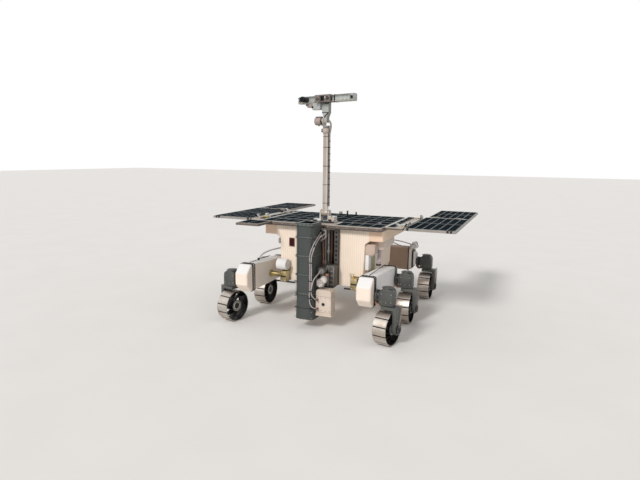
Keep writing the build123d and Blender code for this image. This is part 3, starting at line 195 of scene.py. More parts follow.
def streaked(name, colour, worn, rough, metal):
    """Painted sheet with faint upright wash marks and a little dust."""
    f = Finish(name, colour, rough, metal)
    streaks = f.noise(30.0, 4.0, 0.6, f.stretched((1, 1, 0.08)))
    tone = f.mix(f.span(streaks, 0.35, 0.7), colour, worn)
    dust = f.span(f.noise(7.0, 5.0, 0.65), 0.5, 0.75, 0.0, 0.35)
    f.shade(Base_Color=f.mix(dust, tone, dimmed(worn, 1.25)),
            Roughness=f.span(streaks, 0.3, 0.7, rough - 0.08, rough + 0.12))
    f.bump(f.noise(500.0, 2.0), 0.00012, 0.5)
    return f.mat


def brushed(name, colour, worn, stretch, rough, metal=1.0):
    """Bare metal with brush lines along one direction, smudges and dust in patches."""
    f = Finish(name, colour, rough, metal)
    lines = f.noise(120.0, 3.0, 0.6, f.stretched(stretch))
    dusty = f.span(f.noise(14.0, 5.0, 0.6), 0.42, 0.68)
    f.shade(Base_Color=f.mix(dusty, f.mix(f.span(lines, 0.3, 0.7), colour, dimmed(colour, 0.8)), worn),
            Roughness=f.span(lines, 0.25, 0.75, rough - 0.08, rough + 0.16))
    f.bump(lines, 0.00025, 0.5)
    return f.mat


def solar_cell(name, colour, dark, light):
    """Solar cell glass: near-black blue with faint tone from cell to cell and fine contact fingers."""
    f = Finish(name, colour, 0.55, 0.0, Specular_IOR_Level=0.0)
    tone = f.mix(f.span(f.noise(3.0, 2.0), 0.3, 0.7), dark, light)
    fingers = f.span(f.waves(105.0, "Y"), 0.90, 0.99, 0.0, 0.12)
    f.shade(Base_Color=f.mix(fingers, tone, (0.06, 0.08, 0.11)),
            Roughness=f.span(f.noise(30.0), 0.3, 0.7, 0.45, 0.65))
    f.bump(f.noise(12.0, 2.0), 0.0004, 0.2)
    return f.mat


def cable_jacket(name, colour, wrap):
    """Wrapped cable: tape edges over a satin jacket."""
    f = Finish(name, colour, 0.45, Specular_IOR_Level=0.5)
    f.shade(Base_Color=f.mix(f.span(f.noise(60.0), 0.35, 0.65), colour, dimmed(colour, 0.74)),
            Roughness=f.span(f.noise(90.0, 2.0), 0.3, 0.7, 0.38, 0.55))
    f.bump(f.waves(wrap, "DIAGONAL", f.stretched((1, 0.6, 1))), 0.0003, 0.6)
    return f.mat


RECIPES = {
    blanket: {  # colour, shade, channel pitch
        "body_blanket": ((0.93, 0.80, 0.68), (0.89, 0.755, 0.63), 0.020),
        "box_blanket": ((0.86, 0.64, 0.49), (0.82, 0.60, 0.45)),
        # Side box flanks: lighter than the fronts, painted light.
        "box_lit": ((0.92, 0.73, 0.57), (0.88, 0.68, 0.52)),
        "cap_blanket": ((0.88, 0.76, 0.66), (0.82, 0.70, 0.60)),
        # Pinkish-grey box tone, partly its own and darkened as painted shade.
        "box_pale": ((0.56, 0.44, 0.37), (0.50, 0.39, 0.33)),
        # Cream for the side beams' faces away from the light: painted shade on a white blanket.
        "beam_blanket": ((0.86, 0.775, 0.70), (0.80, 0.71, 0.63)),
        # The rear beam's blanket: dark brown, painted shade with a painted reflection of the brown ground.
        "rear_blanket": ((0.42, 0.30, 0.225), (0.35, 0.25, 0.185)),
        "white_blanket": ((0.82, 0.81, 0.81), (0.75, 0.74, 0.74)),
        "grey_blanket": ((0.74, 0.64, 0.57), (0.66, 0.57, 0.51)),
        "peach_wrap": ((0.40, 0.235, 0.165), (0.33, 0.19, 0.13))},
    painted: {  # colour, worn colour, roughness, metal, specks, gloss
        "grey_paint": ((0.062, 0.066, 0.063), (0.088, 0.092, 0.086), 0.5, 0.25, 0.15),
        "leg_paint": ((0.082, 0.086, 0.082), (0.112, 0.114, 0.108), 0.46, 0.25, 0.15),
        "drill_band": ((0.066, 0.078, 0.077), (0.085, 0.098, 0.095), 0.42, 0.25),
        # Lighter rim colour for the drill's band edges: a painted highlight.
        "drill_light": ((0.078, 0.091, 0.089), (0.100, 0.113, 0.110), 0.42, 0.25),
        "mast_paint": ((0.40, 0.345, 0.30), (0.46, 0.40, 0.35), 0.42, 0.2, 0.1),
        "head_paint": ((0.36, 0.39, 0.37), (0.42, 0.45, 0.43), 0.42, 0.2, 0.1),
        "cream_paint": ((0.58, 0.485, 0.41), (0.64, 0.545, 0.47), 0.45, 0.0, 0.1),
        "cover_paint": ((0.60, 0.55, 0.52), (0.66, 0.61, 0.57), 0.45, 0.1, 0.1),
        "khaki_paint": ((0.55, 0.54, 0.35), (0.60, 0.58, 0.40), 0.5, 0.1, 0.1),
        "pink_paint": ((0.33, 0.265, 0.245), (0.39, 0.32, 0.30), 0.5, 0.1, 0.1),
        "plate_grey": ((0.27, 0.26, 0.25), (0.34, 0.33, 0.31), 0.42, 0.5, 0.1),
        "panel_sheet": ((0.24, 0.20, 0.175), (0.30, 0.26, 0.22), 0.55, 0.1, 0.1),
        "panel_edge": ((0.36, 0.31, 0.27), (0.44, 0.39, 0.34), 0.5, 0.1, 0.1),
        "cell_rim": ((0.19, 0.20, 0.20), (0.25, 0.26, 0.26), 0.5, 0.0),
        "wing_edge": ((0.27, 0.25, 0.23), (0.34, 0.315, 0.29), 0.5, 0.1, 0.1),
        "edge_brown": ((0.115, 0.090, 0.076), (0.16, 0.13, 0.11), 0.55, 0.1, 0.1),
        "under_grey": ((0.20, 0.19, 0.175), (0.26, 0.25, 0.23), 0.6, 0.1, 0.1),
        "tab_teal": ((0.50, 0.62, 0.60), (0.60, 0.70, 0.68), 0.4, 0.2),
        "tab_white": ((0.56, 0.59, 0.58), (0.64, 0.67, 0.66), 0.4, 0.2),
        "plate_dark": ((0.090, 0.084, 0.078), (0.13, 0.122, 0.112), 0.45, 0.4, 0.2),
        # Highlight stripe down the mast tube's lit side: a painted highlight.
        "pale_mast": ((0.60, 0.57, 0.52), (0.66, 0.63, 0.58), 0.38, 0.2, 0.1),
        "head_top": ((0.085, 0.088, 0.084), (0.12, 0.124, 0.118), 0.45, 0.2, 0.1),
        "head_warm": ((0.42, 0.33, 0.26), (0.48, 0.39, 0.31), 0.45, 0.2, 0.1),
        "head_side": ((0.26, 0.25, 0.22), (0.32, 0.31, 0.28), 0.45, 0.2, 0.1),
        "frame_brown": ((0.17, 0.14, 0.125), (0.23, 0.19, 0.17), 0.45, 0.3, 0.1),
        "box_cool": ((0.40, 0.42, 0.42), (0.46, 0.48, 0.47), 0.45, 0.1, 0.1),
        "spring_metal": ((0.060, 0.058, 0.056), (0.10, 0.095, 0.09), 0.36, 0.8),
        "dark_metal": ((0.022, 0.022, 0.023), (0.045, 0.044, 0.043), 0.36, 0.7),
        "black_lace": ((0.006, 0.006, 0.006), (0.012, 0.012, 0.012), 0.8, 0.0),
        "red_dot": ((0.35, 0.03, 0.02), (0.42, 0.05, 0.03), 0.4, 0.0),
        "window_glass": ((0.040, 0.005, 0.009), (0.055, 0.009, 0.013), 0.3, 0.0, 0.0, 0.1),
        "lens_glass": ((0.003, 0.004, 0.005), (0.005, 0.006, 0.009), 0.3, 0.0, 0.0, 0.15)},
    streaked: {  # colour, worn colour, roughness, metal
        "drill_paint": ((0.044, 0.052, 0.050), (0.056, 0.064, 0.061), 0.48, 0.2),
        "bay_brown": ((0.075, 0.040, 0.031), (0.105, 0.060, 0.047), 0.5, 0.3)},
    brushed: {  # colour, worn colour, stretch of the brush lines, roughness, metal
        "copper_part": ((0.55, 0.29, 0.19), (0.46, 0.27, 0.19), (1, 4, 1), 0.38),
        "bar_brown": ((0.30, 0.19, 0.14), (0.22, 0.14, 0.11), (4, 4, 0.3), 0.42),
        "tread_metal": ((0.64, 0.59, 0.54), (0.48, 0.41, 0.35), (0.3, 2, 2), 0.36),
        "bright_metal": ((0.78, 0.78, 0.77), (0.66, 0.64, 0.61), (1, 5, 1), 0.26),
        "gold_metal": ((0.47, 0.37, 0.16), (0.39, 0.32, 0.18), (1, 1, 4), 0.38),
        "pale_gold": ((0.58, 0.48, 0.32), (0.49, 0.41, 0.28), (1, 1, 4), 0.42, 0.8)},
    cable_jacket: {  # colour, tape turns
        "pale_cable": ((0.45, 0.41, 0.41), 180.0), "lilac_cable": ((0.44, 0.39, 0.44), 120.0),
        "harness": ((0.27, 0.205, 0.185), 90.0), "loop_cable": ((0.30, 0.25, 0.245), 110.0)},
    solar_cell: {  # colour, dark cell, light cell
        "cell_glass": ((0.012, 0.018, 0.023), (0.009, 0.014, 0.018), (0.017, 0.026, 0.033))},
}
FINISHES = {name: recipe(name, *values) for recipe, rows in RECIPES.items() for name, values in rows.items()}
NODE_FINISHES = {
    "body_tub": "body_blanket", "side_boxes": "box_blanket", "bogie_pivots": "gold_metal",
    "bogie_beam_left": "beam_blanket", "bogie_beam_right": "beam_blanket",
    "bogie_beam_rear": "rear_blanket", "steering_actuators": "grey_paint",
    "deck_panel": "panel_sheet", "deck_cells": "cell_glass", "mast_base": "bright_metal",
    "wing_hinges": "bright_metal", "drill_rack": "dark_metal", "bay_rods": "bright_metal",
    "mast_tube": "mast_paint", "pan_head": "mast_paint", "camera_bench": "head_paint",
    "cameras": "dark_metal", "drill_carriage": "plate_grey", "drill_box": "drill_paint",
    "drill_bracket": "plate_grey", "instrument_box": "cream_paint", "equipment_boxes": "grey_blanket",
    "deck_fittings": "plate_grey", "body_cables": "pale_cable", "drill_cables": "pale_cable",
}
for station in STATIONS:
    NODE_FINISHES[f"leg_{station}"] = "leg_paint"
    NODE_FINISHES[f"wheel_{station}"] = "tread_metal"
for (hand, side), row in product(SIDES, ("front", "rear")):
    NODE_FINISHES[f"wing_{hand}_{row}"] = "panel_edge"
    NODE_FINISHES[f"wing_{hand}_{row}_cells"] = "cell_glass"


def node_mesh(node):
    """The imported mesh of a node."""
    return frame["nodes"][node].data


def dress(mesh, finish, *rules):
    """Gives a mesh one finish, but each face that meets a (finish, test) rule gets that finish.

    A test is asked with the face's centre and normal, and the first rule that it meets counts.
    """
    mesh.materials.clear()
    for name in (*(rule[0] for rule in rules), finish):
        mesh.materials.append(FINISHES[name])
    for face in mesh.polygons if rules else ():
        met = (i for i, (_, test) in enumerate(rules) if test(face.center, face.normal))
        face.material_index = next(met, len(rules))


for node, finish in NODE_FINISHES.items():
    dress(node_mesh(node), finish)


# ---- mesh helpers ----
def piece(name, mesh, body, finish=None, smooth=None):
    """A finished mesh as a piece, which rides on a body if one is named; smooth is the angle kept sharp."""
    obj = bpy.data.objects.new(name, mesh)
    bpy.context.scene.collection.objects.link(obj)
    if finish:
        dress(mesh, finish)
    if smooth is not None:
        mesh.shade_smooth()
        mesh.set_sharp_from_angle(angle=radians(smooth))
    if body:
        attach(obj, body)
    return obj


def mesh_of(bm, name):
    """Turns a bmesh into a mesh with its faces outwards."""
    bmesh.ops.recalc_face_normals(bm, faces=bm.faces)
    mesh = bpy.data.meshes.new(name)
    bm.to_mesh(mesh)
    bm.free()
    return mesh


def joined(bms, name):
    """One mesh from several bmeshes."""
    whole = bmesh.new()
    for bm in bms:
        part = mesh_of(bm, "part")
        whole.from_mesh(part)
        bpy.data.meshes.remove(part)
    mesh = bpy.data.meshes.new(name)
    whole.to_mesh(mesh)
    whole.free()
    return mesh


def hardware(name, finish, bms, body="rover_body", smooth=35):
    """Several closed forms as one piece of one finish."""
    return piece(name, joined(bms, name), body, finish, smooth)


def loft(rings):
    """Closed skin through rings of points, each ring with the same number of points."""
    bm = bmesh.new()
    rows = [[bm.verts.new(point) for point in ring] for ring in rings]
    count = len(rows[0])
    for near, far in zip(rows, rows[1:]):
        for i in range(count):
            j = (i + 1) % count
            bm.faces.new((near[i], near[j], far[j], far[i]))
    bm.faces.new(rows[0])
    bm.faces.new(rows[-1])
    return bm


def block(x0, x1, y0, y1, z0, z1, edge=0.001, segments=2):
    """Block between two places on each axis, with rounded edges; the x places come in either order."""
    bm = bmesh.new()
    bmesh.ops.create_cube(bm, size=1)
    low, high = Vector((min(x0, x1), y0, z0)), Vector((max(x0, x1), y1, z1))
    for vert in bm.verts:
        vert.co = Vector([low[i] + (high[i] - low[i]) * (vert.co[i] + 0.5) for i in range(3)])
    if edge:
        bmesh.ops.bevel(bm, geom=bm.edges[:], offset=edge, segments=segments, affect="EDGES", profile=0.5)
    return bm


def both(x0, x1, *rest):
    """A block on the left side and its mirror on the right."""
    return [block(side * x0, side * x1, *rest) for side in (1, -1)]


def turned(section, sides=32):
    """Turned form about the local Z axis from (radius, height) points; radius 0 closes an end."""
    bm = bmesh.new()
    angles = [2 * pi * i / sides for i in range(sides)]
    rows = [[bm.verts.new((radius * cos(a), radius * sin(a), height)) for a in (angles if radius else (0,))]
            for radius, height in section]
    runs = list(zip(rows, rows[1:]))
    if len(rows[0]) > 1 and len(rows[-1]) > 1:
        runs.append((rows[-1], rows[0]))
    for near, far in runs:
        for i in range(sides):
            j = (i + 1) % sides
            corners = [near[i % len(near)], near[j % len(near)], far[j % len(far)], far[i % len(far)]]
            bm.faces.new([c for k, c in enumerate(corners) if c not in corners[:k]])
    return bm


def ring_of(section, steps=72):
    """Closed ring around the X axis from a section of (x, radius) points."""
    bm = turned([(radius, x) for x, radius in section], steps)
    bm.transform(Matrix(((0, 0, 1, 0), (0, 1, 0, 0), (1, 0, 0, 0), (0, 0, 0, 1))))
    return bm


def set_at(bm, place, facing=Z):
    """Moves a form made about the local Z axis to a place, with Z turned to a facing."""
    facing = Vector(facing)
    turn = facing.to_track_quat("Z", "Y").to_matrix().to_4x4() if facing.normalized() != Z else Matrix()
    bm.transform(Matrix.Translation(Vector(place)) @ turn)
    return bm


def drum(place, facing, radius, low, high, edge=0.001, sides=32):
    """Solid drum with chamfered rims between two heights over a place."""
    return set_at(turned([(0, low), (radius - edge, low), (radius, low + edge), (radius, high - edge),
                          (radius - edge, high), (0, high)], sides), place, facing)


def sleeve(place, facing, inner, outer, low, high, edge=0.001, sides=32):
    """Open ring with chamfered rims between two heights over a place."""
    return set_at(turned([(inner, low), (outer - edge, low), (outer, low + edge), (outer, high - edge),
                          (outer - edge, high), (inner, high)], sides), place, facing)


def moved(bms, matrix):
    """Forms moved by a matrix."""
    for bm in bms:
        bm.transform(matrix)
    return bms


def settled(data, prepare):
    """The plain mesh that a mesh or curve becomes once an object of it is prepared with modifiers."""
    holder = bpy.data.objects.new("holder", data)
    bpy.context.scene.collection.objects.link(holder)
    prepare(holder)
    result = bpy.data.meshes.new_from_object(holder.evaluated_get(bpy.context.evaluated_depsgraph_get()))
    holder.modifiers.clear()
    bpy.data.objects.remove(holder)
    return result


def joint_named(name):
    """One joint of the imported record."""
    return next(joint for joint in frame["joints"] if joint["name"] == name)


# ---- geometry node trees ----
def geometry_tree(name, *inputs):
    """New geometry tree with the named number inputs: its builder and what it is given."""
    tree = bpy.data.node_groups.new(name, "GeometryNodeTree")
    tree.interface.new_socket("Geometry", in_out="INPUT", socket_type="NodeSocketGeometry")
    for label, kind, value in inputs:
        tree.interface.new_socket(label, in_out="INPUT",
                                  socket_type=f"NodeSocket{kind}").default_value = value
    tree.interface.new_socket("Geometry", in_out="OUTPUT", socket_type="NodeSocketGeometry")
    build = Nodes(tree)
    return build, build.add("NodeGroupInput").outputs


def ended(build, geometry, finish):
    """Ends a tree: instances made real, one finish set."""
    real = build.out("GeometryNodeRealizeInstances", {"Geometry": geometry})
    dressed = build.out("GeometryNodeSetMaterial", {"Geometry": real, "Material": FINISHES[finish]})
    build.add("NodeGroupOutput", {"Geometry": dressed})
    return build.tree


def ring_tree(finish):
    """Repeats the given geometry around the X axis."""
    build, given = geometry_tree(f"ring_{finish}", ("Count", "Int", 12))
    step = build.maths("DIVIDE", 2 * pi, given["Count"])
    angle = build.maths("MULTIPLY", build.out("GeometryNodeInputIndex"), step)
    place = build.out("GeometryNodeInstanceOnPoints", {
        "Points": build.out("GeometryNodePoints", {"Count": given["Count"]}), "Instance": given["Geometry"],
        "Rotation": build.out("ShaderNodeCombineXYZ", {"X": angle})})
    return ended(build, place, finish)


def fastener_tree(finish):
    """Sets a screw head, washer and all, on every point, standing along the point's facing."""
    build, given = geometry_tree(f"fasteners_{finish}", ("Head Radius", "Float", 0.004),
                                 ("Head Height", "Float", 0.003), ("Washer", "Float", 1.5),
                                 ("Sides", "Int", 6), ("Washer Sides", "Int", 14),
                                 ("Washer Height", "Float", 0.0012))
    head = build.out("GeometryNodeMeshCylinder", {
        "Vertices": given["Sides"], "Radius": given["Head Radius"], "Depth": given["Head Height"]})
    washer = build.out("GeometryNodeMeshCylinder", {
        "Vertices": given["Washer Sides"], "Depth": given["Washer Height"],
        "Radius": build.maths("MULTIPLY", given["Head Radius"], given["Washer"])})
    rise = build.out("ShaderNodeCombineXYZ", {"Z": build.maths("MULTIPLY", given["Head Height"], 0.5)})
    lift = build.out("GeometryNodeTransform", {"Geometry": head, "Translation": rise})
    facing = build.add("GeometryNodeInputNamedAttribute", {"Name": "facing"}, data_type="FLOAT_VECTOR")
    place = build.out("GeometryNodeInstanceOnPoints", {
        "Points": given["Geometry"], "Instance": build.out("GeometryNodeJoinGeometry", {0: [lift, washer]}),
        "Rotation": build.out("FunctionNodeAlignRotationToVector", {"Vector": facing.outputs["Attribute"]},
                              axis="Z")})
    return ended(build, place, finish)


def cable_tree(finish):
    """Round cable along the given line, with a tie at every step of its way."""
    build, given = geometry_tree(f"cable_{finish}", ("Radius", "Float", 0.005), ("Sides", "Int", 12),
                                 ("Tie Spacing", "Float", 0.1), ("Tie Radius", "Float", 0.006),
                                 ("Tie Width", "Float", 0.006))
    line = build.out("GeometryNodeMeshToCurve", {"Mesh": given["Geometry"]})
    ring = build.out("GeometryNodeCurvePrimitiveCircle",
                     {"Resolution": given["Sides"], "Radius": given["Radius"]})
    skin = build.out("GeometryNodeCurveToMesh", {"Curve": line, "Profile Curve": ring, "Fill Caps": True})
    tangent = build.out("GeometryNodeInputTangent")
    place = build.out("GeometryNodeInstanceOnPoints", {
        "Points": build.out("GeometryNodeResampleCurve", {"Curve": line, "Length": given["Tie Spacing"]},
                            mode="LENGTH"),
        "Instance": build.out("GeometryNodeMeshCylinder", {
            "Vertices": given["Sides"], "Radius": given["Tie Radius"], "Depth": given["Tie Width"]}),
        "Rotation": build.out("FunctionNodeAlignRotationToVector", {"Vector": tangent}, axis="Z")})
    return ended(build, build.out("GeometryNodeJoinGeometry", {0: [skin, place]}), finish)


TREES = {}


def grown(mesh, kind, finish, values):
    """Runs the geometry tree of a kind and finish on a mesh; each tree is made once."""
    if (kind, finish) not in TREES:
        TREES[kind, finish] = kind(finish)
    tree = TREES[kind, finish]

    def prepare(holder):
        modifier = holder.modifiers.new("rule", "NODES")
        modifier.node_group = tree
        for item in tree.interface.items_tree:
            if item.in_out == "INPUT" and item.name in values:
                modifier[item.identifier] = values[item.name]

    return settled(mesh, prepare)


def fasteners(name, spots, finish="bright_metal", radius=0.003, height=0.002, sides=6, body="rover_body",
              washer=1.5):
    """Screw heads at the given (place, facing) spots, as one piece on one body."""
    mesh = bpy.data.meshes.new(f"{name}_spots")
    mesh.from_pydata([tuple(place) for place, facing in spots], [], [])
    attribute = mesh.attributes.new("facing", "FLOAT_VECTOR", "POINT")
    for entry, (place, facing) in zip(attribute.data, spots):
        entry.vector = facing
    result = grown(mesh, fastener_tree, finish,
                   {"Head Radius": radius, "Head Height": height, "Sides": sides, "Washer": washer})
    return piece(name, result, body, smooth=40)


def listed(value):
    """A number as a list of one."""
    return value if isinstance(value, (tuple, list)) else (value,)


def grid(xs, ys, zs, facing):
    """Screw spots at every mix of the given numbers, one facing for all."""
    return [(Vector(place), facing) for place in product(listed(xs), listed(ys), listed(zs))]


def circle(centre, radius, count, start, facing):
    """Screw spots around a circle that faces along a main axis, the first at a start in degrees."""
    u, v = [axis for axis in (X, Y, Z) if not axis.dot(facing)]
    angles = [radians(start + 360 / count * k) for k in range(count)]
    return [(Vector(centre) + (u * cos(a) + v * sin(a)) * radius, facing) for a in angles]


def shifted(spots, matrix):
    """Screw spots moved by a matrix."""
    turn = matrix.to_3x3()
    return [(matrix @ Vector(place), turn @ facing) for place, facing in spots]


NO_TIES = 9.0


def lines(name, routes, finish, radius, sides=12, tie=NO_TIES, tie_radius=None, body="rover_body"):
    """Round cables straight from point to point of their routes, as one piece on one body."""
    mesh = bpy.data.meshes.new(f"{name}_lines")
    points, edges = [], []
    for route in routes:
        start = len(points)
        points += [tuple(point) for point in route]
        edges += [(start + i, start + i + 1) for i in range(len(route) - 1)]
    mesh.from_pydata(points, edges, [])
    result = grown(mesh, cable_tree, finish, {"Radius": radius, "Sides": sides, "Tie Spacing": tie,
                                              "Tie Radius": tie_radius or radius * 1.2})
    return piece(name, result, body, smooth=45)


def smooth_route(points):
    """Points of the smooth NURBS line that a route steers."""
    line = bpy.data.curves.new("route", "CURVE")
    line.dimensions = "3D"
    line.resolution_u = 5
    spline = line.splines.new("NURBS")
    spline.points.add(len(points) - 1)
    for entry, point in zip(spline.points, points):
        entry.co = (*point, 1)
    spline.order_u = 3
    spline.use_endpoint_u = True
    return [vertex.co.copy() for vertex in settled(line, lambda holder: None).vertices]


def cables(name, routes, finish, radius, **values):
    """Cables along the smooth lines of their routes."""
    return lines(name, [smooth_route(route) for route in routes], finish, radius, **values)


def section_of(node, place, facing):
    """Outline in which a plane cuts a node, as its hull, in order around the plane's facing."""
    facing = Vector(facing).normalized()
    bm = bmesh.new()
    bm.from_mesh(node_mesh(node))
    cut = bmesh.ops.bisect_plane(bm, geom=bm.verts[:] + bm.edges[:] + bm.faces[:], plane_co=place,
                                 plane_no=facing)
    points = [v.co.copy() for v in cut["geom_cut"] if isinstance(v, bmesh.types.BMVert)]
    bm.free()
    side = facing.orthogonal().normalized()
    rise = facing.cross(side)
    hull = convex_hull_2d([(p.dot(side), p.dot(rise)) for p in points])
    return [points[i] for i in hull]


STRAP_SINK = 0.0015


def strap(loop, facing, width, thick):
    """Closed band around a loop of points, standing a thickness proud of it."""
    centre = sum(loop, Vector()) / len(loop)
    bm = bmesh.new()
    rows = []
    for i, point in enumerate(loop):
        outs = []
        for a, b in ((loop[i - 1], point), (point, loop[(i + 1) % len(loop)])):
            out = (b - a).cross(facing).normalized()
            outs.append(out if out.dot(point - centre) > 0 else -out)
        out = outs[0] + outs[1]
        out = out / max(1.2, out.dot(outs[0]))
        rows.append([bm.verts.new(point + facing * w * width / 2 + out * h)
                     for w, h in ((-1, -STRAP_SINK), (-1, thick), (1, thick), (1, -STRAP_SINK))])
    for i, near in enumerate(rows):
        far = rows[(i + 1) % len(rows)]
        for j in range(4):
            bm.faces.new((near[j], near[(j + 1) % 4], far[(j + 1) % 4], far[j]))
    return bm


def along_loop(loop, spacing):
    """Evenly spaced (place, outward) spots on the runs of a closed loop."""
    centre = sum(loop, Vector()) / len(loop)
    spots = []
    for i, point in enumerate(loop):
        run = loop[(i + 1) % len(loop)] - point
        count = int(run.length / spacing)
        side = run.normalized()
        out = point + run / 2 - centre
        out = (out - side * out.dot(side)).normalized()
        spots += [(point + run * (k + 0.5) / count, out) for k in range(count)]
    return spots


# ---- wheels ----
TYRE_RADIUS = 0.1425
TYRE_WIDTH = 0.120
PLATE_TOP = 0.1413
PLATE_COUNT = 12
PLATE_GAP = 0.0105
PLATE_THICK = 0.003
PLATE_LIP = 0.006
PLATE_STEPS = 8
PLATE_CROWN = 0.0009
STUD_ROWS = (-8.5, 0.0, 8.5)
STUD_PLACES = (-0.046, -0.023, 0.0, 0.023, 0.046)
BAND_THICK = 0.002
BAND_RADIUS = PLATE_TOP - PLATE_THICK - BAND_THICK
SPRING_COUNT = 8
SPRING_THICK = 0.0022
SPRING_WIDTH = 0.084
SPRING_LEAD = radians(62)
SPRING_STEPS = 16
HUB_RADIUS = 0.052
HUB_BORE = 0.0405
HUB_WIDTH = 0.104


def mirrored(section):
    """A section of (x, height) points, followed by its mirror image in x."""
    return section + [(-x, height) for x, height in reversed(section)]


def tread_plate():
    """One tread plate: a curved strip across the tyre with its side edges rolled inwards."""
    half = TYRE_WIDTH / 2
    section = mirrored([(-half, PLATE_TOP - PLATE_LIP), (-half + 0.0008, PLATE_TOP - 0.0022),
                        (-half + 0.003, PLATE_TOP)])
    section += mirrored([(half - PLATE_THICK, PLATE_TOP - PLATE_LIP),
                         (half - 0.0045, PLATE_TOP - PLATE_THICK)])
    reach = pi / PLATE_COUNT - PLATE_GAP / 2 / PLATE_TOP
    rings = []
    for step in range(PLATE_STEPS + 1):
        angle = -reach + 2 * reach * step / PLATE_STEPS
        crown = 0.0 if 0 < step < PLATE_STEPS else PLATE_CROWN
        rings.append([(x, (r - crown) * sin(angle), (r - crown) * cos(angle)) for x, r in section])
    return mesh_of(loft(rings), "tread_plate")


def plate_studs():
    """Rows of small studs for one tread plate."""
    tall = TYRE_RADIUS - PLATE_TOP
    forms = []
    for row, x in product(STUD_ROWS, STUD_PLACES):
        out = Vector((0, sin(radians(row)), cos(radians(row))))
        stud = turned([(0, -0.001), (0.0042, -0.001), (0.0024, tall), (0, tall)], 6)
        forms.append(set_at(stud, X * x + out * PLATE_TOP, out))
    return joined(forms, "plate_studs")


def leaf_spring():
    """One leaf spring: a strip that curves from the hub out to the band, narrowest half way."""
    start = Vector((0, HUB_RADIUS - 0.002))
    end = Vector((sin(SPRING_LEAD), cos(SPRING_LEAD))) * BAND_RADIUS
    middle = (start + end) / 2 + Vector((-0.020, 0.020))
    line = []
    for step in range(SPRING_STEPS + 1):
        t = step / SPRING_STEPS
        line.append(start * (1 - t) ** 2 + middle * 2 * t * (1 - t) + end * t * t)
    rings = []
    for i, point in enumerate(line):
        along = (line[min(i + 1, SPRING_STEPS)] - line[max(i - 1, 0)]).normalized()
        across = Vector((-along.y, along.x)) * SPRING_THICK / 2
        half = SPRING_WIDTH / 2 * (1.0 - 0.16 * sin(pi * i / SPRING_STEPS))
        rings.append([(-half, *(point + across)), (half, *(point + across)),
                      (half, *(point - across)), (-half, *(point - across))])
    return mesh_of(loft(rings), "leaf_spring")


def make_wheels():
    """Six wheels: tread plates on a band, leaf springs and a hub with end rings, each on its own body."""
    half, hub_half = TYRE_WIDTH / 2 - 0.0035, HUB_WIDTH / 2
    band = ring_of(mirrored([(-half, BAND_RADIUS), (-half, BAND_RADIUS + BAND_THICK)]))
    hub = ring_of(
        mirrored([(-hub_half, HUB_BORE), (-hub_half, HUB_RADIUS - 0.003), (-hub_half + 0.003, HUB_RADIUS),
                  (-hub_half + 0.012, HUB_RADIUS), (-hub_half + 0.014, HUB_RADIUS - 0.005)]), 48)
    rims = [ring_of([(x - 0.002, BAND_RADIUS - 0.006), (x - 0.002, BAND_RADIUS + 0.001),
                     (x + 0.002, BAND_RADIUS + 0.001), (x + 0.002, BAND_RADIUS - 0.006)])
            for x in (0.002 - half, half - 0.002)]
    ends = [sleeve(X * s * hub_half, X * s, 0.0425, 0.0505, 0.0, 0.004, 0.001, 40) for s in (1, -1)]
    parts = (("plates", grown(tread_plate(), ring_tree, "tread_metal", {"Count": PLATE_COUNT}), None),
             ("springs", grown(leaf_spring(), ring_tree, "spring_metal", {"Count": SPRING_COUNT}), None),
             ("studs", grown(plate_studs(), ring_tree, "tread_metal", {"Count": PLATE_COUNT}), None),
             ("band", joined([band, *rims], "band"), "dark_metal"),
             ("hub", joined([hub], "hub"), "dark_metal"),
             ("hub_ends", joined(ends, "hub_ends"), "plate_grey"))
    for station in STATIONS:
        body = f"wheel_{station}"
        axis = Vector(joint_named(f"roll_{station}")["axis"])
        low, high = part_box(body)
        place = Matrix.Translation((low + high) / 2) @ Matrix.Rotation(atan2(axis.y, axis.x), 4, "Z")
        for label, mesh, finish in parts:
            placed = mesh.copy()
            placed.transform(place)
            obj = piece(f"{body}_{label}", placed, body, finish, smooth=35)
            if label == "plates":
                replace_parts(obj, body)


# ---- blankets ----
CHANNEL_PUFF = 0.0012
BLANKET_THICK = 0.003
BLANKET_SINK = 0.002
SEAM = 0.0002
BODY_OUTLINE = [(0.372, 0.350), (0.402, 0.432), (0.412, 0.738), (0.450, 0.768)]
BODY_TOP = 0.866
BODY_FRONT = -0.560
BAY = ((-0.070, 0.146), (0.372, 0.850), -0.470)
NOTCH_X, NOTCH_Z, NOTCH_Y = 0.305, 0.446, -0.440


def height_at(corners, u):
    """Height of an edge of (u, v) corners at one place along it."""
    for (u0, v0), (u1, v1) in zip(corners, corners[1:]):
        if u <= u1:
            return v0 + (v1 - v0) * (u - u0) / (u1 - u0) if u1 > u0 else v1
    return corners[-1][1]


def flipped(corners):
    """(u, v) corners as seen from the other side."""
    return [(-u, v) for u, v in reversed(corners)]


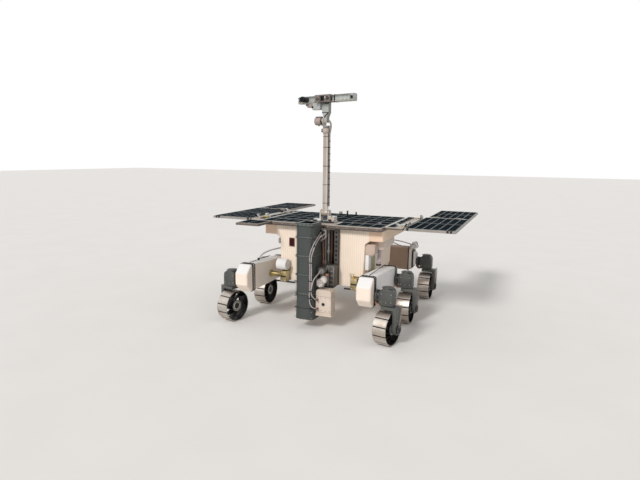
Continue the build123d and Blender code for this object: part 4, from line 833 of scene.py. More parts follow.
def quilted_patch(name, origin, along, up, low, high, pitch, rows=14, puff=CHANNEL_PUFF):
    """Blanket over one face: sewn channels that run up the face, pinned to the face at its border.

    low and high are (u, v) corners of the lower and upper edge; u runs along, v runs up.
    """
    out = along.cross(up).normalized()
    start, stop = low[0][0], low[-1][0]
    marks = {start, stop} | {u for u, v in low + high}
    count = max(1, round((stop - start) / pitch))
    fine = {start + (stop - start) * i / (4 * count) for i in range(4 * count + 1)}
    columns = sorted(marks | {u for u in fine if all(abs(u - mark) > 0.001 for mark in marks)})
    bm = bmesh.new()
    front, back = [], []
    for u in columns:
        v0, v1 = height_at(low, u), height_at(high, u)
        channel = abs(sin(pi * ((u - start) / (stop - start) * count))) ** 0.7
        near, far = [], []
        for row in range(rows + 1):
            t = row / rows
            border = min(1.0, 14 * min(t, 1 - t), 60 * min(u - start, stop - u))
            place = origin + along * u + up * (v0 + (v1 - v0) * t)
            crumple = noise.noise(place * 9.0) * 0.0012 + noise.noise(place * 23.0) * 0.0006
            lift = BLANKET_THICK * 0.5 + border * (puff * channel + crumple + BLANKET_THICK * 0.4)
            near.append(bm.verts.new(place + out * max(lift, 0.0006)))
            far.append(bm.verts.new(place - out * BLANKET_SINK))
        front.append(near)
        back.append(far)
    for sheet in (front, back):
        for a, b in zip(sheet, sheet[1:]):
            for i in range(rows):
                bm.faces.new((a[i], b[i], b[i + 1], a[i + 1]))
    for i, row in product(range(len(columns) - 1), (0, rows)):
        bm.faces.new((front[i][row], front[i + 1][row], back[i + 1][row], back[i][row]))
    for column, i in product((0, -1), range(rows)):
        bm.faces.new((front[column][i], front[column][i + 1], back[column][i + 1], back[column][i]))
    bmesh.ops.remove_doubles(bm, verts=bm.verts, dist=0.00005)
    return piece(f"blanket_{name}", mesh_of(bm, name), "rover_body", "body_blanket", smooth=50)


def make_body_blankets():
    """Sewn blankets on the body's front, flanks, rear and underside, and inside its lower corners."""
    low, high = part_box("body_tub")
    front, rear, outline = BODY_FRONT, high.y, BODY_OUTLINE
    (bay_right, bay_left), (bay_foot, _), _ = BAY
    side_edge = [(NOTCH_X, low.z), (NOTCH_X + SEAM, NOTCH_Z), (0.4025, NOTCH_Z)] + outline[2:]
    for hand, lower in (("left", [(bay_left, low.z)] + side_edge),
                        ("right", flipped(side_edge) + [(bay_right, low.z)])):
        upper = [(lower[0][0], BODY_TOP), (lower[-1][0], BODY_TOP)]
        quilted_patch(f"front_{hand}", Y * front, X, Z, lower, upper, 0.020)
    quilted_patch("front_sill", Y * front, X, Z, [(bay_right, low.z), (bay_left, low.z)],
                  [(bay_right, bay_foot), (bay_left, bay_foot)], 0.020, rows=3)
    quilted_patch("rear", Y * rear, -X, Z, flipped(outline) + outline,
                  [(-0.450, BODY_TOP), (0.450, BODY_TOP)], 0.020)
    for hand, side in SIDES:
        for label, (u0, v0), (u1, v1), first in (("flank", *outline[1:3], front),
                                                 ("bilge", *outline[:2], NOTCH_Y),
                                                 ("shoulder", *outline[2:], front),
                                                 ("crown", outline[3], (0.450, BODY_TOP), front)):
            rise = Vector((side * (u1 - u0), 0, v1 - v0))
            lower = [(first, 0.0), (rear, 0.0)]
            if label == "flank":
                lower = [(front, NOTCH_Z - v0), (NOTCH_Y, NOTCH_Z - v0), (NOTCH_Y + SEAM, 0.0), (rear, 0.0)]
            upper = [(first, rise.length), (rear, rise.length)]
            if side < 0:
                lower, upper = flipped(lower), flipped(upper)
            quilted_patch(f"{label}_{hand}", Vector((side * u0, 0, v0)), Y * side, rise / rise.length,
                          lower, upper, 0.024, rows=14 if label == "flank" else 5)
        ends = [front, NOTCH_Y] if side > 0 else [-NOTCH_Y, -front]
        quilted_patch(f"notch_side_{hand}", X * side * NOTCH_X, Y * side, Z, [(u, low.z) for u in ends],
                      [(u, NOTCH_Z) for u in ends], 0.024, rows=5)
    quilted_patch("belly", Z * low.z, -X, Y, [(-NOTCH_X, front), (NOTCH_X, front)],
                  [(-NOTCH_X, rear), (NOTCH_X, rear)], 0.05, rows=24, puff=0.002)
    for hand, side in SIDES:
        ends = sorted((-side * NOTCH_X, -side * outline[0][0]))
        quilted_patch(f"belly_{hand}", Z * low.z, -X, Y, [(u, NOTCH_Y) for u in ends],
                      [(u, rear) for u in ends], 0.03, rows=20, puff=0.001)


def soft_copy(node, name, rounds, wrinkle, finish, *rules):
    """Blanketed form of a node: its edges softened, its faces slightly slack and creased."""
    mesh = node_mesh(node).copy()
    bm = bmesh.new()
    bm.from_mesh(mesh)
    bmesh.ops.remove_doubles(bm, verts=bm.verts, dist=0.0001)
    bm.to_mesh(mesh)
    bm.free()

    def prepare(holder):
        cloth = holder.modifiers.new("cloth", "REMESH")
        cloth.mode = "VOXEL"
        cloth.voxel_size = 0.0055
        soften = holder.modifiers.new("soften", "SMOOTH")
        soften.factor = 0.5
        soften.iterations = rounds

    result = settled(mesh, prepare)
    normals = [vertex.normal.copy() for vertex in result.vertices]
    for vertex, normal in zip(result.vertices, normals):
        slack = noise.noise(vertex.co * 6.0) + abs(noise.noise(vertex.co * 17.0)) * 0.8 - 0.3
        vertex.co += normal * slack * wrinkle
    obj = piece(name, result, "rover_body", smooth=60)
    dress(result, finish, *rules)
    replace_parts(obj, node)


def make_soft_boxes():
    """Blanketed beams and side boxes, with light and shade painted into their panels: white tops and a lit outer
    face on the side beams over cream sides in painted shade, lit flanks on the side boxes, and a rear beam painted
    dark brown as shade.
    """
    for hand, side in SIDES:
        # Side beams: white on tops and on the left beam's outer face, cream on the other faces; painted light and
        # painted shade of one white blanket.
        soft_copy(f"bogie_beam_{hand}", f"beam_blanket_{hand}", 9, 0.0009, "beam_blanket",
                  ("white_blanket", lambda c, n: n.z > 0.35 or -0.890 < c.y < -0.26 and c.x > 0
                   and n.x > 0.6),
                  ("cap_blanket", lambda c, n: c.y < -0.905))
    # Rear beam painted dark brown: painted shade with a painted reflection of the brown ground; its ends keep the
    # white blanket.
    soft_copy("bogie_beam_rear", "beam_blanket_rear", 3, 0.0009, "rear_blanket",
              ("white_blanket", lambda c, n: abs(c.x) > 0.600))
    # Flanks of the side boxes in the lighter blanket: painted light.
    soft_copy("side_boxes", "side_box_blankets", 2, 0.0006, "box_blanket",
              ("box_lit", lambda c, n: abs(n.x) > 0.6))


def eased(node, edge, segments, finish, *rules):
    """Copy of a rigid node with its sharp edges rounded, finished by place, which stands for the node."""
    bm = bmesh.new()
    bm.from_mesh(node_mesh(node))
    bmesh.ops.remove_doubles(bm, verts=bm.verts, dist=0.00001)
    bmesh.ops.dissolve_limit(bm, angle_limit=radians(1.0), verts=bm.verts, edges=bm.edges)
    sharp = [e for e in bm.edges if len(e.link_faces) == 2 and e.calc_face_angle(0) > radians(40)]
    bmesh.ops.bevel(bm, geom=sharp, offset=edge, segments=segments, profile=0.5, affect="EDGES",
                    clamp_overlap=True)
    mesh = mesh_of(bm, f"{node}_eased")
    dress(mesh, finish, *rules)
    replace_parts(piece(f"{node}_eased", mesh, BODY_OF[node], smooth=38), node)


# ---- legs and steering ----
ARM_Z = 0.400
AXLE_Z = TYRE_RADIUS


def make_units():
    """Steering actuators and legs: rounded castings, end caps, flanges, bolts, motor caps and leads."""
    eased("steering_actuators", 0.005, 3, "grey_paint",
          ("copper_part", lambda c, n: n.z < -0.9 and c.z < 0.334))
    for station in STATIONS:
        place = Vector(joint_named(f"steer_{station}")["pos_m"])
        roll = joint_named(f"roll_{station}")["axis"]
        side = 1 if place.x > 0 else -1
        leg = f"leg_{station}"
        arm_at = Matrix.Translation((place.x, place.y, 0)) @ Matrix.Scale(side, 4, X)
        leg_at = (Matrix.Translation((place.x, place.y, 0))
                  @ Matrix.Rotation(atan2(roll[1], roll[0]), 4, "Z") @ Matrix.Scale(side, 4, X))

        def arm(name, finish, forms):
            hardware(f"{name}_{station}", finish, moved(forms, arm_at), smooth=30)

        def on_leg(name, finish, forms):
            hardware(f"{name}_{station}", finish, moved(forms, leg_at), leg, 30)

        eased(leg, 0.003, 3, "leg_paint")
        arm("actuator_caps", "leg_paint", [
            drum((0, 0, 0), Z, 0.049, 0.468, 0.4745, 0.003, 40),
            drum((0, 0, 0), Z, 0.030, 0.4745, 0.4785, 0.0015),
            drum((-0.0835, 0, ARM_Z), -X, 0.0475, 0.0, 0.010, 0.002, 40),
            drum((-0.062, 0, ARM_Z), -X, 0.0455, 0.0, 0.006, 0.0015, 40)])
        arm("actuator_plates", "grey_paint", [block(-0.052, 0.052, y, y + 0.003, 0.352, 0.440, 0.0012)
                                              for y in (-0.0545, 0.0515)])
        spots = [((x, s * 0.0545, z), Y * s) for s in (1, -1)
                 for x, z in ((-0.040, 0.428), (0.040, 0.428), (-0.040, 0.364), (0.040, 0.364),
                              (0.0, 0.358))]
        spots += circle((0, 0, 0.4745), 0.038, 6, 30, Z) + circle((-0.0935, 0, ARM_Z), 0.040, 8, 22, -X)
        fasteners(f"actuator_screws_{station}", shifted(spots, arm_at), "plate_grey", 0.003, 0.0024)
        on_leg("motor_caps", "dark_metal", [
            drum((0.106, 0, AXLE_Z), X, 0.036, 0.0, 0.0045, 0.0015, 40),
            sleeve((0.106, 0, AXLE_Z), X, 0.013, 0.022, 0.004, 0.007),
            drum((-0.0475, 0, AXLE_Z), -X, 0.0385, 0.0, 0.004, 0.001, 40)])
        on_leg("motor_rings", "bright_metal",
               [sleeve((-0.0513, 0, AXLE_Z), -X, 0.030, 0.0365, 0.0, 0.002, 0.0006, 40)])
        spots = circle((0.1105, 0, AXLE_Z), 0.029, 6, 0, X)
        spots += [((0.1065, y, z), X)
                  for y, z in ((-0.030, 0.300), (0.030, 0.300), (-0.030, 0.225), (0.030, 0.225))]
        fasteners(f"leg_screws_{station}", shifted(spots, leg_at), "plate_grey", 0.003, 0.0024, body=leg)
        arm("arm_wraps", "dark_metal", [sleeve((-0.073, 0, ARM_Z), X, 0.040, 0.0462, -0.006, 0.006, 0.002)])
        sling = [(-0.104, -0.018, 0.356), (-0.088, -0.020, 0.330), (-0.066, -0.022, 0.324),
                 (-0.048, -0.020, 0.338)]
        cables(f"arm_sling_{station}", [[arm_at @ Vector((x, y + k * 0.020, z)) for x, y, z in sling]
                                        for k in range(3)], "peach_wrap", 0.0075)
        lead = [(0.107, 0.030, 0.335), (0.1095, 0.029, 0.310), (0.1095, 0.022, 0.250),
                (0.1095, 0.006, 0.200), (0.1085, 0.003, 0.172)]
        cables(f"motor_lead_{station}", [[leg_at @ Vector(point) for point in lead]], "harness", 0.0035,
               tie=0.05, tie_radius=0.0048, body=leg)


# ---- bogie beams ----
def laced(node, axis, bands):
    """Straps and hooks around a beam at (place, width) bands along an axis."""
    rings, hooks = [], []
    for place, width, thick in bands:
        loop = section_of(node, axis * place, axis)
        rings.append(strap(loop, axis, width, thick))
        hooks += along_loop(loop, 0.024)
    return rings, hooks


def make_beams():
    """Laced rings, hooks, seams and end rings on the blanketed beams."""
    for hand, side in SIDES:
        node = f"bogie_beam_{hand}"
        rings, hooks = laced(node, Y,
                             ((-0.925, 0.015, 0.0032), (-0.892, 0.010, 0.0032), (-0.262, 0.014, 0.0032),
                              (-0.292, 0.008, 0.0032)))
        hardware(f"beam_laces_{hand}", "black_lace", rings, smooth=30)
        fasteners(f"beam_hooks_{hand}", hooks, "dark_metal", 0.0032, 0.006, 5, washer=1.2)
        zigzag = [place + out * 0.003 + Y * (0.011 if i % 2 else -0.011)
                  for i, (place, out) in enumerate(along_loop(section_of(node, Y * -0.9075, Y), 0.012))]
        lines(f"beam_lacing_{hand}", [zigzag], "black_lace", 0.0013, sides=6)
        low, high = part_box(node)
        seam = [((low.x + high.x) / 2, y, high.z + 0.0012) for y in (-0.86, -0.70, -0.56, -0.50)]
        lines(f"beam_seam_{hand}", [seam], "black_lace", 0.0022, sides=8, tie=0.03, tie_radius=0.0034)
        hardware(f"beam_end_{hand}", "white_blanket",
                 [strap(section_of(node, Y * -0.238, Y), Y, 0.026, 0.0026)], smooth=30)
    rings, hooks = laced("bogie_beam_rear", X, [(side * x, width, 0.0035) for side in (1, -1)
                                                for x, width in ((0.590, 0.012), (0.545, 0.007))])
    hardware("rear_beam_laces", "black_lace", rings, smooth=30)
    hardware("rear_beam_whites", "white_blanket",
             [strap(section_of("bogie_beam_rear", X * x, X), X, 0.026, 0.0024) for x in (0.568, -0.568)],
             smooth=30)
    fasteners("rear_beam_hooks", hooks, "dark_metal", 0.0032, 0.006, 5, washer=1.2)


def make_pivots():
    """Bogie pivots: gold posts, nuts and plates, dark rods, bolts."""
    eased("bogie_pivots", 0.0015, 2, "gold_metal",
          ("dark_metal", lambda c, n: c.z < 0.3415 and abs(c.x) > 0.2 and -0.612 < c.y < -0.588),
          ("pale_gold", lambda c, n: -0.570 < c.y < -0.559 and abs(c.x) < 0.330),
          ("plate_grey", lambda c, n: c.y > 0))
    spots = []
    for side in (1, -1):
        spots += grid((side * 0.326, side * 0.364), -0.640, (0.352, 0.430), -Y)
        spots += [(Vector((side * x, -0.5683, z)), -Y)
                  for x, z in ((0.290, 0.460), (0.316, 0.460), (0.3195, 0.425))]
    spots += grid((0.078, -0.078), (0.320, 0.410), 0.484, Z)
    fasteners("pivot_bolts", spots, "bright_metal", 0.0038, 0.0035)
    hardware("pivot_slots", "dark_metal", both(0.318, 0.372, -0.6412, -0.6396, 0.384, 0.398, 0.0004)
             + both(0.374, 0.376, -0.630, -0.570, 0.350, 0.356, 0.0004))


# ---- body front and flanks ----
def make_body():
    """Dark bay, window, lower corner brackets, tabs and screws."""
    (x0, x1), (z0, z1), back = BAY
    dress(node_mesh("body_tub"), "body_blanket",
          ("bay_brown", lambda c, n: x0 - 0.0005 < c.x < x1 + 0.0005 and -0.5595 < c.y < back + 0.001
           and z0 - 0.0005 < c.z < z1 + 0.0005),
          ("window_glass", lambda c, n: c.y < -0.5605 and n.y < -0.9),
          ("plate_grey", lambda c, n: c.y < -0.5605))
    hardware("bay_lining", "bay_brown", [block(-0.069, 0.145, -0.473, -0.4702, 0.373, 0.849, 0.0008)])
    hardware("bay_ribs", "bar_brown", [
        *[block(x - 0.0015, x + 0.0015, -0.479, -0.4725, 0.376, 0.846, 0.0005)
          for x in (-0.050, -0.005, 0.040, 0.108)],
        *[block(-0.068, 0.144, -0.478, -0.4725, z - 0.0015, z + 0.0015, 0.0005)
          for z in (0.46, 0.60, 0.74)]])
    hardware("window_frame", "bar_brown",
             window_bars(-0.3205, -0.2635, 0.6645, 0.7475, 0.005, -0.5675, -0.5595, 0.001))
    hardware("corner_boxes", "plate_grey", both(0.3075, 0.360, -0.460, -0.4415, 0.360, 0.442, 0.002)
             + both(0.365, 0.398, -0.470, -0.4415, 0.372, 0.430, 0.003))
    hardware("corner_pads", "tab_white", both(0.380, 0.399, -0.540, -0.500, 0.430, 0.4455, 0.002)
             + both(0.306, 0.311, -0.545, -0.462, 0.360, 0.430, 0.001))
    spots = grid((0.165, -0.090), -0.5632, (0.40, 0.52, 0.64, 0.76, 0.84), -Y)
    spots += grid((0.22, 0.28, 0.34, 0.40, -0.15, -0.22, -0.29, -0.36, -0.42), -0.5632, 0.856, -Y)
    fasteners("front_buttons", spots, "panel_edge", 0.003, 0.0016, 10, washer=1.6)


def window_bars(x0, x1, z0, z1, width, y0, y1, edge):
    """Four bars just inside an upright rectangle."""
    return [block(*x, y0, y1, *z, edge)
            for x, z in (((x0, x1), (z0, z0 + width)), ((x0, x1), (z1 - width, z1)),
                         ((x0, x0 + width), (z0, z1)), ((x1 - width, x1), (z0, z1)))]


def make_bay():
    """Finishes and joints of the bay's rods, pipes, bars and rack."""
    eased("bay_rods", 0.0008, 2, "copper_part",
          ("bar_brown", lambda c, n: c.x > 0.078 and c.z < 0.836),
          ("plate_grey", lambda c, n: c.z > 0.835 or c.x > 0.055 and c.y < -0.58),
          ("tab_white", lambda c, n: c.x > 0.040),
          ("cream_paint", lambda c, n: c.x > 0.018))
    dress(node_mesh("drill_rack"), "dark_metal", ("plate_dark", lambda c, n: n.y < -0.9 and c.y < -0.597))
    hardware("rod_collars", "plate_grey", [
        drum((x, -0.515, z), Z, radius, -0.006, 0.006, 0.0015, 20)
        for x, radius in ((0.056, 0.0105), (0.028, 0.0075), (0.008, 0.0075))
        for z in (0.420, 0.545, 0.700, 0.815)])
    cables("bay_wires", [
        [(-0.030, -0.500, 0.380), (-0.034, -0.506, 0.480), (-0.022, -0.512, 0.620), (-0.040, -0.502, 0.760),
         (-0.036, -0.496, 0.846)],
        [(-0.012, -0.498, 0.378), (-0.014, -0.510, 0.500), (-0.006, -0.508, 0.660),
         (-0.016, -0.500, 0.844)]],
           "harness", 0.004, tie=0.07)
    cables("bay_pipe_pale", [[(0.130, -0.500, 0.376), (0.131, -0.506, 0.500), (0.127, -0.506, 0.700),
                              (0.130, -0.498, 0.846)]], "pale_cable", 0.0045, tie=0.09)
    fasteners("rack_screws", grid(0.163, -0.600, [0.372 + 0.041 * k for k in range(12)], -Y), "dark_metal",
              0.0028)


def make_equipment():
    """Boxes, panel, disc and drum on the body's flanks, with their seams, rings and cables."""
    eased("equipment_boxes", 0.003, 3, "grey_blanket",
          ("khaki_paint", lambda c, n: 0.4 < c.x < 0.414 and c.z < 0.5995 and c.y > -0.440),
          ("white_blanket", lambda c, n: c.x < -0.300 and c.z < 0.600),
          ("cream_paint", lambda c, n: c.x < -0.400),
          # The pinkish box under the side box: its own pinkish-grey tone darkened as painted shade.
          ("box_pale", lambda c, n: c.z > 0.6418 and c.y < -0.453),
          ("white_blanket", lambda c, n: c.y < -0.455))
    hardware("disc_cover", "cover_paint", [drum((-0.428, -0.500, 0.702), -X, 0.030, 0.0, 0.0265, 0.004, 40)])
    hardware("disc_rings", "dark_metal", [
        sleeve((-0.4283, -0.500, 0.702), -X, 0.0295, 0.0335, 0.0, 0.006, 0.001, 40),
        sleeve((-0.454, -0.500, 0.702), -X, 0.012, 0.020, 0.0, 0.002, 0.0006, 24)])
    hardware("drum_seam", "white_blanket",
             [sleeve((-0.352, -0.6123, 0.502), X, 0.050, 0.0522, -0.002, 0.002, 0.0008, 40)])
    hardware("khaki_slats", "dark_metal", [
        block(0.413, 0.4146, -0.418 + 0.030 * k, -0.415 + 0.030 * k, 0.452, 0.588, 0.0004)
        for k in range(6)])
    spots = grid(0.414, (-0.410, -0.250), (0.460, 0.580), X)
    spots += grid((0.424, 0.488), -0.542, (0.655, 0.724), -Y)
    spots += grid(0.500, (-0.530, -0.468), (0.655, 0.724), X)
    spots += grid(0.565, (-0.43, -0.34, -0.26, -0.17), 0.755, X)
    fasteners("equipment_screws", spots, "panel_edge", 0.003, 0.0018, 10)
    bundle = [(0.510, -0.424, 0.680), (0.509, -0.428, 0.646), (0.513, -0.446, 0.588), (0.516, -0.470, 0.547)]
    strands = [[place for place, _ in spots]
               for spots in zip(*(circle(place, 0.0085, 5, 45, Z) for place in bundle))]
    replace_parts(cables("beam_bundle", [*strands, bundle], "lilac_cable", 0.0068), "body_cables")
    hardware("bundle_socket", "dark_metal", [drum((0.516, -0.470, 0.5445), Z, 0.022, 0.0, 0.014, 0.002, 24)])
    hardware("bundle_hoops", "lilac_cable", [
        sleeve(place, (0.05, -0.25, -1), 0.014, 0.0175, -0.003, 0.003, 0.001, 24)
        for place in ((0.509, -0.427, 0.655), (0.511, -0.438, 0.615), (0.515, -0.460, 0.572))])
    cables("rear_cables", [
        [(0.540, -0.1486, 0.712), (0.556, -0.030, 0.672), (0.574, 0.150, 0.622), (0.592, 0.350, 0.584),
         (0.600, 0.5525, 0.572), (0.602, 0.5845, 0.545)],
        [(0.552, -0.1488, 0.730), (0.580, -0.010, 0.702), (0.600, 0.190, 0.654), (0.612, 0.390, 0.604),
         (0.612, 0.5825, 0.586), (0.610, 0.6185, 0.545)]], "harness", 0.0045, tie=0.11)
    cables("rear_cable_wraps", [[(0.596, 0.450, 0.580), (0.600, 0.5525, 0.574), (0.602, 0.580, 0.552)],
                                [(0.612, 0.480, 0.598), (0.612, 0.5825, 0.588), (0.610, 0.614, 0.554)]],
           "white_blanket", 0.019)
    hardware("rear_wrap_ties", "black_lace", [sleeve(place, Y, 0.0185, 0.0215, -0.008, 0.008, 0.001, 24)
                                              for place in ((0.599, 0.520, 0.5755), (0.612, 0.550, 0.591))])
    cables("right_beam_cable", [[(-0.560, -0.715, 0.543), (-0.552, -0.700, 0.580), (-0.514, -0.640, 0.614),
                                 (-0.456, -0.560, 0.632), (-0.4132, -0.490, 0.636)]], "pale_cable", 0.0065,
           tie=0.2)
    hardware("cable_glands", "dark_metal",
             [drum(place, facing, 0.010, -0.003, 0.016, 0.002, 20) for place, facing in (
                 ((0.540, -0.150, 0.712), Y), ((0.552, -0.150, 0.730), Y), ((0.602, 0.5845, 0.545), Z),
                 ((0.610, 0.6185, 0.545), Z), ((-0.560, -0.715, 0.545), Z), ((-0.4125, -0.490, 0.636), -X))])


# ---- drill box and close-up instrument ----
DRILL = ((-0.110, 0.055), (-0.865, -0.690), (0.092, 0.932))
DRILL_BANDS = (0.812, 0.650, 0.486, 0.320)


def around_drill(low, high, proud):
    """Slab around the drill box between two heights, standing a little proud of it."""
    (x0, x1), (y0, y1), _ = DRILL
    return block(x0 - proud, x1 + proud, y0 - proud, y1 + proud, low, high, 0.0006)


def make_drill():
    """Drill box: seams, band edges in a painted highlight with painted shadow lines under them, rim, screws, lid
    and mouth.
    """
    (x0, x1), (y0, y1), (z0, z1) = DRILL
    dress(node_mesh("drill_box"), "drill_paint",
          ("drill_band", lambda c, n: c.z > z1 - 0.0245 or any(abs(c.z - z) < 0.0056 for z in DRILL_BANDS)),
          ("dark_metal", lambda c, n: c.z < z0 + 0.0005))
    # Band edges and top rim in a lighter colour: painted highlights; the dark slabs below them: painted shadow
    # lines.
    hardware("drill_edges", "drill_light", [
        *[around_drill(z + 0.0032, z + 0.0052, 0.0036) for z in DRILL_BANDS],
        around_drill(z1 - 0.003, z1 + 0.0004, 0.0034), around_drill(z0 + 0.204, z0 + 0.2065, 0.0062)],
             "drill")
    hardware("drill_shadow_lines", "dark_metal", [
        *[around_drill(z - 0.008, z - 0.0052, 0.0008) for z in DRILL_BANDS],
        around_drill(z1 - 0.029, z1 - 0.0245, 0.0008), around_drill(z0 + 0.100, z0 + 0.102, 0.0064)],
             "drill")
    heights = (z0 + 0.215, z1 - 0.030, 0.0)
    hardware("drill_seams", "drill_band", [
        *[block(x, x + 0.0012, y0 - 0.0007, y0 + 0.002, *heights) for x in (x0 + 0.020, x1 - 0.019)],
        *[block(x1 - 0.002, x1 + 0.0008, y, y + 0.0011, *heights)
          for y in (y0 + 0.018, y0 + 0.060, y0 + 0.072, y1 - 0.040, y1 - 0.016)],
        *[block(x0 - 0.0008, x0 + 0.002, y, y + 0.0011, *heights) for y in (y0 + 0.018, y1 - 0.018)]],
             "drill")
    spots = []
    for z in DRILL_BANDS:
        across = [x0 + 0.012 + 0.0235 * k for k in range(7)]
        spots += grid(across, y0 - 0.003, z, -Y) + grid(across, y1 + 0.003, z, Y)
        spots += grid(x1 + 0.003, [y0 + 0.014 + 0.0245 * k for k in range(7)], z, X)
    fasteners("drill_band_screws", spots, "plate_grey", 0.0022, 0.0016, body="drill")
    spots = grid([x0 + 0.010 + 0.0365 * k for k in range(5)], y0 - 0.003, z1 - 0.012, -Y)
    spots += grid((x0 + 0.006, x1 - 0.006), y0 - 0.0062, (0.112, 0.165, 0.225, 0.280), -Y)
    spots += grid((x0 + 0.012, x1 - 0.012), (y0 + 0.012, y1 - 0.012), z1, Z)
    fasteners("drill_screws", spots, "plate_grey", 0.0028, body="drill")
    hardware("drill_lid", "drill_band", [
        block(x0 + 0.022, x1 - 0.022, y0 + 0.022, y1 - 0.022, z1 - 0.001, z1 + 0.0004, 0.0)], "drill")
    mouth = ((x0 + x1) / 2, (y0 + y1) / 2, z0 + 0.0006)
    hardware("drill_mouth", "plate_grey", [sleeve(mouth, -Z, 0.020, 0.034, 0.0, 0.004),
                                           drum(mouth, -Z, 0.0195, 0.0, 0.002, 0.0005)], "drill")


def make_drill_side():
    """Gear covers, housings, instrument and carriage beside the drill box."""
    eased("drill_bracket", 0.0025, 2, "plate_grey", ("plate_dark", lambda c, n: c.z > 0.476))
    eased("drill_carriage", 0.0025, 2, "plate_dark", ("bright_metal", lambda c, n: c.y < -0.690))
    hardware("carriage_fins", "plate_grey", [
        *[block(x, x + 0.006, -0.6765, -0.6735, 0.360, 0.536) for x in (0.076, 0.122, 0.168)],
        *[block(0.136, 0.164, -0.6775, -0.6735, z, z + 0.010) for z in (0.372, 0.412, 0.452, 0.492)]],
        "drill_carriage")
    fasteners("carriage_screws", grid((0.090, 0.112), -0.674, (0.366, 0.420, 0.470, 0.536), -Y),
              body="drill_carriage")
    eased("instrument_box", 0.0035, 3, "cream_paint", ("cover_paint", lambda c, n: c.z > 0.370))
    rims, spots = [], []
    for x, z, radius, screws in ((0.094, 0.412, 0.037, 0.030), (0.127, 0.443, 0.032, 0.0255)):
        rims += [sleeve((x, -0.805, z), -Y, radius - 0.0055, radius - 0.0025, -0.001, 0.0022, 0.0006, 48),
                 sleeve((x, -0.785, z), -Y, radius - 0.001, radius + 0.003, 0.0, 0.006, 0.0015, 48)]
        spots += circle((x, -0.805, z), screws, 8, 18, -Y)
    hardware("cover_rims", "plate_grey", rims, "drill")
    fasteners("cover_screws", spots, "plate_grey", 0.002, 0.0014, body="drill")
    hardware("cover_dot", "red_dot", [drum((0.100, -0.805, 0.412), -Y, 0.0042, -0.001, 0.0024, 0.0008, 20)],
             "drill")
    hardware("instrument_lines", "panel_sheet", [
        block(0.064, 0.206, -0.8158, -0.7148, 0.300, 0.3022, 0.0004),
        block(0.0636, 0.2064, -0.8158, -0.7148, 0.158, 0.1602, 0.0004)], "drill")
    spots = grid((0.078, 0.112, 0.158, 0.194), -0.8155, (0.174, 0.288), -Y)
    spots += grid(0.2065, (-0.800, -0.766, -0.732), (0.174, 0.288), X)
    spots += grid((0.066, 0.100, 0.134, 0.168, 0.202), -0.820, 0.137, -Y)
    fasteners("instrument_screws", spots, "plate_grey", 0.0026, 0.0018, body="drill")
    eye = (0.135, -0.815, 0.232)
    hardware("instrument_eye_ring", "plate_grey", [sleeve(eye, -Y, 0.012, 0.0165, 0.0, 0.004)], "drill")
    hardware("instrument_eye", "lens_glass", [drum(eye, -Y, 0.0121, -0.001, 0.0018, 0.0005)], "drill")
    hardware("gear_brackets", "plate_dark", [
        block(0.060, 0.068, -0.810, -0.744, 0.368, 0.482, 0.0015),
        block(0.150, 0.1575, -0.778, -0.744, 0.395, 0.480, 0.0015),
        block(0.090, 0.125, -0.7786, -0.742, 0.470, 0.500, 0.0025)], "drill")
    hardware("gear_copper", "copper_part", [drum((0.142, -0.760, 0.482), Z, 0.016, -0.010, 0.012, 0.002, 24),
                                            block(0.062, 0.086, -0.780, -0.735, 0.480, 0.500, 0.002)],
             "drill")
    hardware("pivot_cap", "plate_grey", [drum((0.100, -0.780, 0.512), -Y, 0.0215, 0.0, 0.0045)], "drill")
    fasteners("pivot_cap_screws", circle((0.100, -0.7845, 0.512), 0.0155, 6, 0, -Y), "dark_metal", 0.0018,
              0.0014, body="drill")
    lower = [(0.064, -0.702, 0.848), (0.0635, -0.800, 0.800), (0.062, -0.880, 0.750), (0.028, -0.875, 0.660),
             (0.034, -0.874, 0.545), (0.033, -0.874, 0.425), (0.030, -0.874, 0.330), (0.031, -0.875, 0.262),
             (0.048, -0.875, 0.208), (0.084, -0.841, 0.191)]
    upper = [(0.067, -0.706, 0.826), (0.067, -0.808, 0.776), (0.072, -0.884, 0.724), (0.043, -0.875, 0.640),
             (0.048, -0.874, 0.545), (0.047, -0.874, 0.425), (0.044, -0.874, 0.350), (0.054, -0.872, 0.300),
             (0.082, -0.841, 0.270)]
    branch = [(0.096, -0.796, 0.520), (0.090, -0.816, 0.498), (0.076, -0.862, 0.474), (0.058, -0.875, 0.430),
              (0.050, -0.874, 0.380)]
    struts = [[(0.064, -0.702, 0.846), (0.085, -0.712, 0.862), (0.107, -0.718, 0.868),
               (0.108, -0.718, 0.820), (0.104, -0.718, 0.782), (0.050, -0.718, 0.776)],
              [(0.070, -0.780, 0.796), (0.088, -0.748, 0.820), (0.1072, -0.719, 0.836)],
              [(0.050, -0.702, 0.812), (0.071, -0.702, 0.806), (0.0715, -0.702, 0.766),
               (0.050, -0.702, 0.760)]]
    cables("drill_cable_struts", struts, "pale_cable", 0.0038, body="drill")
    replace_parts(cables("drill_runs", [lower, upper, branch], "pale_cable", 0.0048, tie=0.075, body="drill"),
                "drill_cables")
    plug = [(0, -0.004), (0.0055, -0.004), (0.0075, 0.006), (0.0085, 0.008), (0.0085, 0.030), (0.010, 0.031),
            (0.010, 0.036), (0, 0.036)]
    hardware("cable_plugs", "bar_brown", [set_at(turned(plug, 20), place, Y)
                                          for place in ((0.084, -0.846, 0.191), (0.082, -0.846, 0.270))],
             "drill")
    hardware("cable_clips", "dark_metal", [
        block(x - 0.016, x + 0.016, -0.883, -0.8645, z - 0.004, z + 0.004, 0.0025, 3)
        for x, z in ((0.040, 0.600), (0.040, 0.440), (0.036, 0.352), (0.031, 0.290))], "drill")
    hardware("cable_roots", "dark_metal", [block(0.0545, 0.076, -0.715, -0.690, 0.810, 0.862, 0.003),
                                           block(0.0545, 0.074, -0.868, -0.840, 0.735, 0.752, 0.003)],
             "drill")


